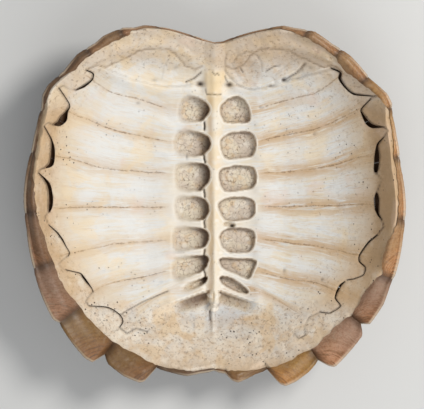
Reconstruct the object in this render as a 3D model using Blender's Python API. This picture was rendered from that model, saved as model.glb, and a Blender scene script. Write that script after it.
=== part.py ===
"""Snapping turtle carapace, lying on its back: one grown-together bony shell and its horn scutes."""

import math

import bmesh
import bpy
import numpy as np
from mathutils import Vector

# Sizes. Plan positions are in UNITs from the middle of the shell: +x right, +y to the head end.
MM = 0.001
UNIT = 0.945 * MM

# Plan positions hold at the rim's height. A point lower down lies a little further out.
RIM_PLANE = 100 * MM
SIGHT = 1400 * MM
# Moves the middle of the shell's box onto the origin.
SHIFT = (-0.59 * MM, 0.42 * MM)

# Outline, as (degrees from the head end, reach in UNITs). The last notches part the rear tips.
OUTLINE_LEFT = (
    (0, 165), (3, 167.8), (9, 175.8), (15, 185.8), (21, 194.5), (24, 196), (27, 200.8), (33, 203.5),
    (36, 202.2), (42, 204.8), (48, 202.4), (54, 206), (57, 204.8), (60, 199.5), (66, 194.8), (72, 191.5),
    (87, 190.8), (97, 189), (108, 190.8), (117, 194.2), (125, 197), (127, 194.2), (133, 196.8),
    (139.5, 199.4), (142, 198), (143.6, 185), (146, 190), (152, 192.4), (157, 191.6), (158.2, 189),
    (160.4, 172), (166, 171.8), (171, 172), (175, 168), (180, 165),
)
OUTLINE_RIGHT = (
    (0, 165), (3, 166), (9, 174.5), (15, 184), (21, 194), (24, 195.8), (30, 202), (36, 201.2),
    (42, 203.5), (51, 202), (57, 206.8), (60, 205.8), (63, 200.5), (69, 195.8), (78, 191), (90, 192),
    (99, 191.6), (111, 194), (114, 193.2), (120, 196), (127, 195.6), (128.6, 189), (131, 197), (137, 199),
    (143, 201.2), (144.2, 197), (145.9, 186.5), (150, 190.8), (155, 193.5), (158.2, 193.6), (159.5, 190),
    (162, 172.2), (166, 173), (172, 178), (174, 175.5), (176, 168), (180, 165),
)
# Seams of the marginal scutes, in degrees from the head end.
SEAMS_LEFT = (7, 17, 28, 39, 50, 61, 73.5, 92, 109, 127, 143.6, 160.4, 180)
SEAMS_RIGHT = (7, 17, 28, 39, 50, 61, 75, 94, 112.2, 128.6, 145.9, 162, 180)
# Where the grid's columns lie in each scute, as shares of its width. The last one is the scute's tip.
COLUMN_SHARES = (0.0, 0.4, 0.84)

# Heights and thicknesses at the head end, its corner, the flank, the hip and the tail.
KEY_ANGLES = (0, 45, 90, 135, 180)
DOME_REACH = (178, 199, 191, 197, 178)
EDGE_Z = (74 * MM, 86 * MM, 98 * MM, 85 * MM, 76 * MM)
LIP_THICK = (5 * MM, 9 * MM, 17 * MM, 7.5 * MM, 5.5 * MM)
GAP_THICK = (7 * MM, 7 * MM, 7 * MM, 7.5 * MM, 7 * MM)
BAND_WIDTH = (3, 7, 12, 27, 7)
GAP_INSET = (34, 17, 25, 45, 40)
DOME_POWER = (3.5, 2.8, 2.6, 2.8, 3.5)
FLARE = (0.1, 0.1, 0.0, 0.4, 0.35)
DOME_Z = 4.5 * MM
PLATE = 6 * MM
PLATE_IN = 30
HEAD_PLATE = 7.5 * MM
HEAD_PLATE_IN = 75
FLOOR_PLATE = 3.8 * MM
EDGE_THICK = 0.8 * MM
LIP_SHARE = 0.75
LIP_LEAST = 3

# Grid rows of the bony shell: shares of the reach outside, shares of the gap line inside.
OUTER_ROWS = (0.15, 0.3, 0.45, 0.58, 0.7, 0.78, 0.84, 0.92, 1.0)
SCUTE_ROW = 0.84
BAND_ROWS = (0.6, 1.0)
WALL_ROWS = (0.5, 1.0)
INNER_ROWS = (0.86, 0.72, 0.58, 0.44, 0.3, 0.15)
COARSE_SHARE = 0.8

# Horn scutes.
HORN = 1.3 * MM
HORN_GAP = 0.45 * MM
DOME_GAP = 0.95 * MM
SEAM_GAP = 0.3 * MM
EDGE_INSET = 1.8
OFFSET_CUTOFF = 0.12
KEEL = 5.2 * MM
KEEL_HALF = 20
KEEL_PITCH = 54
KEEL_MIDDLE_Y = 8
KEEL_WAVE = 0.38
SIDE_KEEL = 2.6 * MM
SIDE_KEEL_X = 82
SIDE_KEEL_LEAN = 0.1
SIDE_KEEL_HALF = 12
VERTEBRAL_Y = (150, 88, 35, -20, -74, -150)
VERTEBRAL_HALF = 41
VERTEBRAL_SWELL = 7
VERTEBRAL_ROWS = 4
PLEURAL_Y = (124, 62, 8, -46, -108)
PLEURAL_ANGLES = (19, 61, 92, 122, 159)
PLEURAL_ROWS = 5
VERTEBRAL_SHARES = (0, 0.2, 0.38, 0.5, 0.62, 0.8, 1)
PLEURAL_SHARES = (0, 0.2, 0.4, 0.6, 0.8, 1)
FIRST_CORNER = 19
LAST_CORNER = 159
RING_GAP = 0.4
SLOPE_STEP = 2.0

# Column of vertebrae: joints, as the distance along +y and the half width there.
JOINTS = (
    (134, 11.5), (122, 7), (112, 8), (80, 7.5), (48, 7.5), (13, 7.5), (-18, 7.2), (-47, 7.0),
    (-66, 6.5), (-81, 6.0), (-90, 10), (-97, 4),
)
WAIST = 3.7
WAISTED_Y = (115, -85)
COLUMN_HIGH = 9.5 * MM
COLUMN_DEEP = 7.5 * MM
COLUMN_SIDES = 8

# Rib heads, as y at the column and y at their outer end, both in UNITs.
RIB_HEADS = ((80.5, 80.5), (47.5, 47.5), (13, 13), (-17.5, -17.5), (-47, -47), (-66.5, -79.5), (-81, -95.5))
HOLLOW_TOP_Y = 112.5
HOLLOW_IN = 2.5
HOLLOW_OUT = (37, 41, 43, 43, 43, 42, 34)
HOLLOW_CORNER = 4
HOLLOW_HIGH = 40 * MM
HOLLOW_DRAFT = 1.06
STRUT_HALF = 2.7
STRUT_DEEP = 3.2 * MM
STRUT_IN = 2
STRUT_OUT = 47
STRUT_SHARES = (0.0, 0.45, 1.0)
STRUT_RISE = 6.5 * MM
STRUT_DROP = 4.5 * MM
STRUT_SIDES = 6

# Ridges of the head end, as (x, y) in UNITs on one side, with a half width.
SWOOP = ((23, 120), (49, 117.5), (84, 124.5), (107, 135))
SWOOP_HALF = 5
BROW = ((22, 147), (47, 151), (72, 153), (98, 146))
BROW_HALF = 4
RIDGE_END = 0.55
RIDGE_SUNK = 1 * MM
RIDGE_FLAT = 0.8
RIDGE_SIDES = 6

# Openings between the rib tips and the rim, as (x, y, half width) along each.
OPENINGS = (
    ((-128, 136.5, 0.8), (-121, 131, 1.3), (-130, 120.5, 1.3), (-138, 116.5, 0.8)),
    ((-155, 118.5, 0.9), (-144.5, 102, 1.4), (-149, 91, 4.5), (-154, 84, 3.5), (-161, 82, 0.8)),
    ((-170, 80.5, 0.8), (-163, 67.5, 1.2), (-161.5, 57, 2.3), (-163, 43, 2.2), (-169.5, 38.5, 0.7)),
    ((-175.4, 33.5, 0.7), (-166, 22.5, 2.2), (-163.5, 10, 2.5), (-163.8, 1, 2.4), (-165, -5.5, 1)),
    ((-165, -18.5, 0.7), (-152, -33.5, 0.9), (-146, -43.5, 1.1), (-146, -49.5, 0.7)),
    ((-148, -63.5, 0.7), (-134, -67.5, 1), (-127, -74.5, 1.5), (-120.5, -86.5, 0.8)),
    ((-124, -100.5, 0.7), (-106, -100.5, 1.2), (-93, -108.5, 1.3), (-95, -121.5, 0.7)),
    ((117, 138.5, 0.8), (128, 133.5, 1.6), (125, 126, 1.4), (139, 113, 1.5), (159, 110.5, 0.7)),
    ((155, 109.5, 0.8), (147, 97.5, 1.3), (153, 88, 5), (160, 82, 4), (170, 79.5, 0.8)),
    ((170, 69.5, 0.8), (164, 62, 1.5), (163.5, 50, 3.2), (162, 38, 2.4), (161, 34, 1)),
    ((163, 14, 1.5), (163, 8, 2.8), (163, -2, 2.2), (163.5, -8, 1.2), (167, -13.5, 0.7)),
    ((163, -26.5, 0.7), (144, -51.5, 0.9), (147, -64, 1.2), (133, -73.5, 0.9)),
    ((126, -79.5, 0.9), (120, -93.5, 1.2), (126, -99.5, 1.2), (116, -106.5, 1.2), (95, -110.5, 1.3),
     (90, -128.5, 1.2), (84, -131.5, 0.8)),
)
OPENING_TOP = 150 * MM

BONE_COLOUR = (0.78, 0.70, 0.55, 1)
BONE_ROUGHNESS = 0.6
HORN_COLOUR = (0.24, 0.13, 0.06, 1)
HORN_ROUGHNESS = 0.5


def eased(keys, at):
    """The value at a place between (place, value) keys, with a smooth ease between each two."""
    for (a, low), (b, high) in zip(keys, keys[1:]):
        if at <= b:
            share = (at - a) / (b - a)
            return low + (high - low) * share * share * (3 - 2 * share)
    return keys[-1][1]


def straight(keys, at):
    """The value at a place between (place, value) keys, in a straight line between each two."""
    for (a, low), (b, high) in zip(keys, keys[1:]):
        if at <= b:
            return low + (high - low) * (at - a) / (b - a)
    return keys[-1][1]


def around(values, angle):
    """One of the key rows above, at an angle counted from the head end, left positive."""
    angle = abs((angle + 180) % 360 - 180)
    return eased(tuple(zip(KEY_ANGLES, values)), angle)


def reach(angle):
    """How far out the horn's edge lies at an angle."""
    return straight(OUTLINE_LEFT if angle >= 0 else OUTLINE_RIGHT, abs(angle))


def angle_of(x, y):
    """The angle of a plan point from the head end, left positive."""
    return math.degrees(math.atan2(-x, y))


def outside_z(x, y):
    """Height of the bone's outer face, the underside of this shell, over a plan point."""
    angle = angle_of(x, y)
    share = math.hypot(x, y) / around(DOME_REACH, angle)
    power = around(DOME_POWER, angle)
    flare = around(FLARE, angle)
    rise = (1 + flare) * share**power - flare * share ** (2 * power)
    return DOME_Z + (around(EDGE_Z, angle) - DOME_Z) * rise


def thickness(x, y):
    """Upright thickness of the bone over a plan point."""
    angle = angle_of(x, y)
    radius = math.hypot(x, y)
    far = reach(angle) - EDGE_INSET
    lip = far - max(around(BAND_WIDTH, angle) * LIP_SHARE, LIP_LEAST)
    gap = around(DOME_REACH, angle) - around(GAP_INSET, angle)
    keys = (
        (gap - HEAD_PLATE_IN, HEAD_PLATE),
        (gap - PLATE_IN, PLATE),
        (gap, around(GAP_THICK, angle)),
        (lip, around(LIP_THICK, angle)),
        (far, EDGE_THICK),
    )
    return eased(keys, max(radius, keys[0][0]))


def inside_z(x, y):
    """Height of the bone's inner face over a plan point."""
    return outside_z(x, y) + thickness(x, y)


def placed(x, y, z):
    """The point in metres, drawn out a little where it lies under the rim's height."""
    spread = UNIT * (SIGHT - z) / (SIGHT - RIM_PLANE)
    return Vector((x * spread + SHIFT[0], y * spread + SHIFT[1], z))


def polar(angle, radius):
    """The plan point at an angle and a distance from the middle."""
    turn = math.radians(angle)
    return -radius * math.sin(turn), radius * math.cos(turn)


def column_angles():
    """Angles of the grid's columns round the shell, from the tail up the right side and down the left."""
    left = [a + (b - a) * share for a, b in zip(SEAMS_LEFT, SEAMS_LEFT[1:]) for share in COLUMN_SHARES]
    right = [a + (b - a) * share for a, b in zip(SEAMS_RIGHT, SEAMS_RIGHT[1:]) for share in COLUMN_SHARES]
    return [-180.0] + [-a for a in reversed(right)] + [0.0] + left


def grid_row(kind, share):
    """One closed row of points of the bony shell. The rows near the middle take every second column."""
    row = []
    coarse = kind in ("outside", "inside") and share < COARSE_SHARE
    for angle in column_angles()[:: 2 if coarse else 1]:
        far = reach(angle) - EDGE_INSET
        dome = around(DOME_REACH, angle)
        gap = dome - around(GAP_INSET, angle)
        band = far - around(BAND_WIDTH, angle)
        if kind == "outside":
            seam = dome * SCUTE_ROW
            past = max(share - SCUTE_ROW, 0) / (1 - SCUTE_ROW)
            radius = seam + (far - seam) * past if past > 0 else dome * share
            x, y = polar(angle, radius)
            row.append(placed(x, y, outside_z(x, y)))
            continue
        if kind == "band":
            radius = far + (band - far) * share
        elif kind == "wall":
            radius = band + (gap - band) * share
        else:
            radius = gap * share
        x, y = polar(angle, radius)
        row.append(placed(x, y, inside_z(x, y)))
    return row


def mesh_object(name, points, faces):
    """An object of these points and triangles, its faces turned to point outwards."""
    mesh = bpy.data.meshes.new(name)
    mesh.from_pydata([tuple(p) for p in points], [], faces)
    work = bmesh.new()
    work.from_mesh(mesh)
    bmesh.ops.recalc_face_normals(work, faces=work.faces)
    if work.calc_volume(signed=True) < 0:
        bmesh.ops.reverse_faces(work, faces=work.faces)
    work.to_mesh(mesh)
    work.free()
    made = bpy.data.objects.new(name, mesh)
    bpy.context.scene.collection.objects.link(made)
    return made


def step_faces(fine, coarse, count, turned):
    """Triangles between a row and one with half as many points."""
    faces = []
    for i in range(0, count, 2):
        here, ahead = coarse + i // 2, coarse + (i // 2 + 1) % (count // 2)
        a, b, c = fine + i, fine + i + 1, fine + (i + 2) % count
        faces += [(here, a, b), (here, b, ahead), (ahead, b, c)]
    return [f[::-1] for f in faces] if turned else faces


def strip_faces(first, second, count, closed=True):
    """Triangles between two rows that start at these point numbers, all cut along the same diagonal."""
    faces = []
    for i in range(count if closed else count - 1):
        j = (i + 1) % count
        faces.append((first + i, first + j, second + j))
        faces.append((first + i, second + j, second + i))
    return faces


def bowl():
    """The bony shell before its hollows, column and openings, and the first point of each of its rows."""
    kinds = (("outside", OUTER_ROWS), ("band", BAND_ROWS), ("wall", WALL_ROWS), ("inside", INNER_ROWS))
    rows = [grid_row(kind, share) for kind, shares in kinds for share in shares]
    points = [placed(0, 0, outside_z(0, 0.01))]
    starts = []
    for row in rows:
        starts.append(len(points))
        points += row
    points.append(placed(0, 0, inside_z(0, 0.01)))
    last = len(points) - 1
    faces = []
    count = len(rows[0])
    for i in range(count):
        faces.append((0, 1 + i, 1 + (i + 1) % count))
        faces.append((last, last - count + (i + 1) % count, last - count + i))
    for k in range(len(rows) - 1):
        before, after = len(rows[k]), len(rows[k + 1])
        if before < after:
            faces += step_faces(starts[k + 1], starts[k], after, turned=True)
        elif before > after:
            faces += step_faces(starts[k], starts[k + 1], before, turned=False)
        else:
            faces += strip_faces(starts[k], starts[k + 1], before)
    return mesh_object("bone_carapace", points, faces), starts


def tube(points, faces, stations, sides):
    """Adds a closed tube through (centre, half width, half height, crosswise direction) stations."""
    start = len(points)
    for centre, wide, high, across in stations:
        for side in range(sides):
            turn = 2 * math.pi * (side + 0.5) / sides
            points.append(centre + across * (wide * math.cos(turn)) + Vector((0, 0, high * math.sin(turn))))
    for k in range(len(stations) - 1):
        faces += strip_faces(start + k * sides, start + (k + 1) * sides, sides)
    end = start + (len(stations) - 1) * sides
    for side in range(1, sides - 1):
        faces.append((start, start + side + 1, start + side))
        faces.append((end, end + side, end + side + 1))


def column_half(y):
    """Half width of the column at a distance along it, waisted between the joints."""
    for (a, wide_a), (b, wide_b) in zip(JOINTS, JOINTS[1:]):
        if y >= b:
            share = (a - y) / (a - b)
            ends = wide_a + (wide_b - wide_a) * share
            waist = WAIST if a < WAISTED_Y[0] and b > WAISTED_Y[1] else ends
            return ends + (waist - ends) * math.sin(math.pi * share) ** 2
    return JOINTS[-1][1]


def column_stations():
    """Centres and sizes of the column's cross-sections, with one between two joints where it is waisted."""
    stations = []
    for (a, wide), (b, _) in zip(JOINTS, JOINTS[1:]):
        places = (a, (a + b) / 2) if a < WAISTED_Y[0] and b > WAISTED_Y[1] else (a,)
        for y in places:
            stations.append((y, wide if y == a else column_half(y)))
    stations.append(JOINTS[-1])
    return [
        (placed(0, y, outside_z(0, y) + COLUMN_HIGH), half * UNIT, COLUMN_DEEP, Vector((1, 0, 0)))
        for y, half in stations
    ]


def column_and_ribs():
    """The vertebral column with the rib heads that run from it to the plates."""
    points, faces = [], []
    tube(points, faces, column_stations(), COLUMN_SIDES)
    for side in (-1, 1):
        for y_in, y_out in RIB_HEADS:
            stations = []
            for share in STRUT_SHARES:
                x = side * (STRUT_IN + (STRUT_OUT - STRUT_IN) * share)
                y = y_in + (y_out - y_in) * share
                z = outside_z(x, y) + FLOOR_PLATE + STRUT_RISE - STRUT_DROP * share
                stations.append((placed(x, y, z), STRUT_HALF * UNIT, STRUT_DEEP, Vector((0, 1, 0))))
            tube(points, faces, stations, STRUT_SIDES)
    return mesh_object("add_column", points, faces)


def ridges():
    """The two curved ridges on each side of the head end."""
    points, faces = [], []
    for path, half in ((SWOOP, SWOOP_HALF), (BROW, BROW_HALF)):
        for side in (-1, 1):
            stations = []
            for number, (x, y) in enumerate(path):
                wide = half * UNIT * (RIDGE_END if number in (0, len(path) - 1) else 1)
                centre = placed(side * x, y, inside_z(side * x, y) - RIDGE_SUNK)
                stations.append((centre, wide, wide * RIDGE_FLAT, Vector((0, 1, 0))))
            tube(points, faces, stations, RIDGE_SIDES)
    return mesh_object("add_ridges", points, faces)


def hollow_cutters():
    """Cutters for the hollows beside the column, each between two rib heads."""
    points, faces = [], []
    for side in (-1, 1):
        above = (HOLLOW_TOP_Y + STRUT_HALF, HOLLOW_TOP_Y + STRUT_HALF)
        for (y_in, y_out), x_out in zip(RIB_HEADS, HOLLOW_OUT):
            top_in, top_out = above[0] - STRUT_HALF, above[1] - STRUT_HALF
            low_in, low_out = y_in + STRUT_HALF, y_out + STRUT_HALF
            above = (y_in, y_out)
            plan = (
                (HOLLOW_IN, top_in),
                (x_out - HOLLOW_CORNER, top_out),
                (x_out, top_out - HOLLOW_CORNER),
                (x_out, low_out + HOLLOW_CORNER),
                (x_out - HOLLOW_CORNER, low_out),
                (HOLLOW_IN, low_in),
            )
            start = len(points)
            for x, y in plan:
                points.append(placed(side * x, y, outside_z(side * x, y) + FLOOR_PLATE))
            for x, y in plan:
                z = outside_z(side * x, y) + HOLLOW_HIGH
                points.append(placed(side * x * HOLLOW_DRAFT, y, z))
            count = len(plan)
            faces += strip_faces(start, start + count, count)
            for i in range(1, count - 1):
                faces.append((start, start + i + 1, start + i))
                faces.append((start + count, start + count + i, start + count + i + 1))
    return mesh_object("cut_hollows", points, faces)


def opening_cutters():
    """Upright cutters for the openings between the rib tips and the rim."""
    points, faces = [], []
    for stations in OPENINGS:
        middle = [Vector((x, y)) for x, y, _ in stations]
        ring_a, ring_b = [], []
        for i, here in enumerate(middle):
            ahead = middle[min(i + 1, len(middle) - 1)]
            behind = middle[max(i - 1, 0)]
            along = (ahead - here).normalized() + (here - behind).normalized()
            along = along.normalized() if along.length > 0.01 else (ahead - behind).normalized()
            across = Vector((-along.y, along.x)) * stations[i][2]
            ring_a.append(here + across)
            ring_b.append(here - across)
        ring = ring_a + ring_b[::-1]
        start = len(points)
        count = len(ring)
        for z in (0, OPENING_TOP):
            for p in ring:
                level = placed(p.x, p.y, inside_z(p.x, p.y))
                points.append(Vector((level.x, level.y, z)))
        faces += strip_faces(start, start + count, count)
        for base, turned in ((start, True), (start + count, False)):
            for i in range(len(middle) - 1):
                a, b = base + i, base + i + 1
                c, d = base + count - 2 - i, base + count - 1 - i
                faces.append((a, d, c) if turned else (a, c, d))
                faces.append((a, c, b) if turned else (a, b, c))
    return mesh_object("cut_openings", points, faces)


def apply_boolean(target, other, operation):
    """Adds a live exact Boolean and hides what it works with."""
    modifier = target.modifiers.new(other.name, "BOOLEAN")
    modifier.operation = operation
    modifier.solver = "EXACT"
    modifier.use_self = True
    modifier.object = other
    other.hide_render = True
    other.display_type = "WIRE"


def sheet(name, inner, outer):
    """A closed thin plate between two equal grids of points, rows of columns."""
    rows, columns = len(inner), len(inner[0])
    points = [p for row in inner for p in row] + [p for row in outer for p in row]
    half = rows * columns
    faces = []
    for k in range(rows - 1):
        faces += [f[::-1] for f in strip_faces(k * columns, (k + 1) * columns, columns, closed=False)]
        faces += strip_faces(half + k * columns, half + (k + 1) * columns, columns, closed=False)
    rim = (
        list(range(columns))
        + [(k + 1) * columns - 1 for k in range(1, rows)]
        + [(rows - 1) * columns + i for i in range(columns - 2, -1, -1)]
        + [k * columns for k in range(rows - 2, 0, -1)]
    )
    for i, a in enumerate(rim):
        b = rim[(i + 1) % len(rim)]
        faces.append((a, b, half + b))
        faces.append((a, half + b, half + a))
    return mesh_object(name, points, faces)


def drawn_in(grid, amount):
    """The grid with its border points moved this far towards their inner neighbours."""
    rows, columns = len(grid), len(grid[0])
    moved = [[p.copy() for p in row] for row in grid]
    for k in range(rows):
        for end, inner in ((0, 1), (columns - 1, columns - 2)):
            moved[k][end] += (grid[k][inner] - grid[k][end]).normalized() * amount
    for i in range(columns):
        for end, inner in ((0, 1), (rows - 1, rows - 2)):
            moved[end][i] += (grid[inner][i] - grid[end][i]).normalized() * amount
    return moved


def offset_way(vertex):
    """The move that takes every face round this vertex one unit outwards, as nearly as one move can."""
    normals = np.array([face.normal[:] for face in vertex.link_faces])
    way, *_ = np.linalg.lstsq(normals, np.ones(len(normals)), rcond=OFFSET_CUTOFF)
    return Vector(way)


def marginal_scutes(shell, starts):
    """Horn plates folded over the rim. Their columns run as the shell's do, so that the facets match."""
    work = bmesh.new()
    work.from_mesh(shell.data)
    work.verts.ensure_lookup_table()
    work.normal_update()
    angles = column_angles()
    count = len(angles)
    first = OUTER_ROWS.index(SCUTE_ROW)

    def plate(name, start, end):
        inner, outer = [], []
        for k in range(first, len(OUTER_ROWS) + len(BAND_ROWS)):
            inner.append([])
            outer.append([])
            for i in range(start, end):
                vertex = work.verts[starts[k] + i % count]
                away = offset_way(vertex)
                inner[-1].append(vertex.co + away * HORN_GAP)
                outer[-1].append(vertex.co + away * (HORN_GAP + HORN))
        return sheet(name, drawn_in(inner, SEAM_GAP), drawn_in(outer, SEAM_GAP))

    made = []
    head = angles.index(0.0)
    made.append(plate("scute_nuchal", head - 1, head + 2))
    for number in range(len(SEAMS_LEFT) - 1):
        start = head + 1 + number * len(COLUMN_SHARES)
        made.append(plate(f"scute_marginal_left_{number + 1}", start, start + len(COLUMN_SHARES) + 1))
        start = head - 1 - (number + 1) * len(COLUMN_SHARES)
        made.append(plate(f"scute_marginal_right_{number + 1}", start, start + len(COLUMN_SHARES) + 1))
    work.free()
    return made


def keel(x, y):
    """Height of the low keels on the outside: one down the middle and one on each side."""
    wave = 1 - KEEL_WAVE + KEEL_WAVE * math.cos(2 * math.pi * (y - KEEL_MIDDLE_Y) / KEEL_PITCH)
    middle = KEEL * wave * math.exp(-((x / KEEL_HALF) ** 4))
    path = SIDE_KEEL_X - SIDE_KEEL_LEAN * abs(y)
    side = SIDE_KEEL * wave * math.exp(-(((abs(x) - path) / SIDE_KEEL_HALF) ** 2))
    return middle + side


def dome_plate(name, plan, rows, shares):
    """A scute over the dome, its plan given by a function of two shares."""
    inner, outer = [], []
    for k in range(rows + 1):
        inner.append([])
        outer.append([])
        for share in shares:
            x, y = plan(share, k / rows)
            rise_x = (outside_z(x + SLOPE_STEP, y) - outside_z(x - SLOPE_STEP, y)) / (2 * SLOPE_STEP * UNIT)
            rise_y = (outside_z(x, y + SLOPE_STEP) - outside_z(x, y - SLOPE_STEP)) / (2 * SLOPE_STEP * UNIT)
            steep = math.sqrt(1 + rise_x**2 + rise_y**2)
            base = placed(x, y, outside_z(x, y))
            away = Vector((rise_x, rise_y, -1)) / steep
            inner[-1].append(base + away * DOME_GAP)
            point = base + away * (DOME_GAP + HORN + keel(x, y))
            point.z = max(point.z, 0.0)
            outer[-1].append(point)
    return sheet(name, drawn_in(inner, SEAM_GAP), drawn_in(outer, SEAM_GAP))


def ring_point(angle):
    """Where the scutes of the dome meet the marginal ones."""
    return polar(angle, around(DOME_REACH, angle) * SCUTE_ROW - RING_GAP)


def vertebral_half(y):
    """Half width of the vertebral scutes: widest at each one's middle, where the side scutes part."""
    for at, (x_ring, y_ring) in (
        (VERTEBRAL_Y[1], ring_point(-FIRST_CORNER)),
        (VERTEBRAL_Y[4], ring_point(-LAST_CORNER)),
    ):
        if abs(y) > abs(at) and y * at > 0:
            return VERTEBRAL_HALF + (x_ring - VERTEBRAL_HALF) * (y - at) / (y_ring - at)
    for a, b in zip(VERTEBRAL_Y[1:], VERTEBRAL_Y[2:]):
        if y >= b:
            share = (a - y) / (a - b)
            return VERTEBRAL_HALF + VERTEBRAL_SWELL * (1 - abs(2 * share - 1))
    return VERTEBRAL_HALF


def vertebral_scutes():
    """The five scutes over the middle of the dome."""
    made = []
    for number in range(len(VERTEBRAL_Y) - 1):
        high, low = VERTEBRAL_Y[number], VERTEBRAL_Y[number + 1]

        def plan(across, down, high=high, low=low, number=number):
            y = high + (low - high) * down
            side = 2 * across - 1
            x = side * vertebral_half(y)
            if number == 0:
                x_ring, y_ring = ring_point(-side * FIRST_CORNER)
                x = x_ring + (side * VERTEBRAL_HALF - x_ring) * down
                y = y_ring + (low - y_ring) * down
            if number == 4:
                x_ring, y_ring = ring_point(180 + side * (180 - LAST_CORNER))
                x = side * VERTEBRAL_HALF + (x_ring - side * VERTEBRAL_HALF) * down
                y = high + (y_ring - high) * down
            return x, y

        made.append(dome_plate(f"scute_vertebral_{number + 1}", plan, VERTEBRAL_ROWS, VERTEBRAL_SHARES))
    return made


def pleural_scutes():
    """The four scutes on each side of the dome."""
    made = []
    for side, word in ((-1, "left"), (1, "right")):
        for number in range(len(PLEURAL_Y) - 1):
            high, low = PLEURAL_Y[number], PLEURAL_Y[number + 1]
            first, last = PLEURAL_ANGLES[number], PLEURAL_ANGLES[number + 1]

            def plan(out, down, high=high, low=low, first=first, last=last, side=side):
                y_in = high + (low - high) * down
                x_in = side * vertebral_half(y_in)
                angle = first + (last - first) * down
                x_out, y_out = ring_point(-side * angle)
                return x_in + (x_out - x_in) * out, y_in + (y_out - y_in) * out

            made.append(dome_plate(f"scute_pleural_{word}_{number + 1}", plan, PLEURAL_ROWS, PLEURAL_SHARES))
    return made


def coloured(made, name, colour, roughness):
    """Gives the object a material of its own."""
    material = bpy.data.materials.new(name)
    material.use_nodes = True
    shader = material.node_tree.nodes["Principled BSDF"]
    shader.inputs["Base Color"].default_value = colour
    shader.inputs["Roughness"].default_value = roughness
    made.data.materials.append(material)
    for face in made.data.polygons:
        face.use_smooth = True


def main():
    for old in list(bpy.data.objects):
        bpy.data.objects.remove(old)
    shell, starts = bowl()
    scutes = marginal_scutes(shell, starts)
    scutes += vertebral_scutes()
    scutes += pleural_scutes()
    apply_boolean(shell, hollow_cutters(), "DIFFERENCE")
    apply_boolean(shell, column_and_ribs(), "UNION")
    apply_boolean(shell, ridges(), "UNION")
    apply_boolean(shell, opening_cutters(), "DIFFERENCE")
    coloured(shell, "bone", BONE_COLOUR, BONE_ROUGHNESS)
    for scute in scutes:
        coloured(scute, "horn_" + scute.name, HORN_COLOUR, HORN_ROUGHNESS)


main()
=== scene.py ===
"""Looks of a snapping turtle's upper shell, lying on its back: a pale bony bowl in horn scutes."""

from __future__ import annotations

import logging
import math
from dataclasses import dataclass, field
from enum import Enum
from typing import ClassVar

import bmesh
import bpy
import numpy as np
from mathutils import Matrix, Vector

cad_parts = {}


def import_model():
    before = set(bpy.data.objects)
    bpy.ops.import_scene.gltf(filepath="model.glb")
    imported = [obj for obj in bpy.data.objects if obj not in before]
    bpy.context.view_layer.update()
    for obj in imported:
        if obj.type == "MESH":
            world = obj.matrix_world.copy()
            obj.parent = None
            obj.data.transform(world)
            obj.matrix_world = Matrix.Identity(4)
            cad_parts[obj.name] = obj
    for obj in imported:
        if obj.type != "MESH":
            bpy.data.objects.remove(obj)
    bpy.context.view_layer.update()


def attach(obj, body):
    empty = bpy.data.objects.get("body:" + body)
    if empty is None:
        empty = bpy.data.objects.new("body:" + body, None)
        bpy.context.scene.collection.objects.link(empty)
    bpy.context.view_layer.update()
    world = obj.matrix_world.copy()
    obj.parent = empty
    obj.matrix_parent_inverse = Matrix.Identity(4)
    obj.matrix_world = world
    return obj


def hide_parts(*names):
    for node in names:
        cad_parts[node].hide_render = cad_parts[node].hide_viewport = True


log = logging.getLogger("turtle_shell")

MM = 0.001
UNIT = 0.945 * MM  # one step of the plan, which one pixel of the photo shows
FAR = 1e9
TINY = 1e-9
Keys = tuple[tuple[float, float], ...]
Path = tuple[tuple[float, ...], ...]
Triple = tuple[float, float, float]
Colour = tuple[float, float, float, float]
Array = np.ndarray


def ease(t: Array) -> Array:
    """A smooth step of the shares t, held within 0 and 1."""
    t = np.clip(t, 0.0, 1.0)
    return t * t * (3 - 2 * t)


def step(low: float, high: float, value: Array) -> Array:
    """A smooth step of the values from low, where it is 0, to high, where it is 1."""
    return ease((value - low) / (high - low))


def within(value: Array, start: float, full: float, fall: float, end: float) -> Array:
    """A smooth step up from start to full, and down again from fall to end."""
    return step(start, full, value) * step(end, fall, value)


def bump(distance: Array, width: Array | float) -> Array:
    """A bell of height 1 over a distance, with this width."""
    return np.exp(-((distance / width) ** 2))


def keyed(keys: list[tuple], at: Array) -> Array:
    """Values eased between keys whose places or values may vary from point to point.

    Args:
        keys: (place, value) pairs in rising order of place.
        at: Where to read them.

    Returns:
        The value at each point.
    """
    out = np.zeros_like(at) + keys[0][1]
    for (a, low), (b, high) in zip(keys, keys[1:]):
        share = ease((at - a) / np.maximum(b - a, TINY))
        out = np.where(at >= a, low + (high - low) * share, out)
    return out


def lattice(x: Array, y: Array, cell: float, seed: int) -> Array:
    """Smooth noise between -1 and 1 on a square lattice.

    Args:
        x: First coordinate.
        y: Second coordinate.
        cell: Size of a lattice square.
        seed: Which pattern.

    Returns:
        The noise at each point.
    """
    u, v = x / cell, y / cell
    i, j = np.floor(u).astype(np.int64), np.floor(v).astype(np.int64)
    fu, fv = ease(u - i), ease(v - j)

    def corner(di: int, dj: int) -> Array:
        """A fixed random value of one lattice corner."""
        h = (i + di) * 374761393 + (j + dj) * 668265263 + seed * 1442695041
        h = (h ^ (h >> 13)) * 1274126177 & 0x7FFFFFFF
        h = (h ^ (h >> 16)) & 0xFFFF
        return h / 32767.5 - 1.0

    low = corner(0, 0) * (1 - fu) + corner(1, 0) * fu
    high = corner(0, 1) * (1 - fu) + corner(1, 1) * fu
    return low * (1 - fv) + high * fv


def rough(x: Array, y: Array, cell: float, seed: int, layers: int = 3) -> Array:
    """Layered noise, each layer half the size and height of the one before."""
    total = np.zeros_like(x)
    for layer in range(layers):
        total += lattice(x, y, cell / 2**layer, seed + 17 * layer) / 2**layer
    return total / (2 - 0.5 ** (layers - 1))


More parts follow.
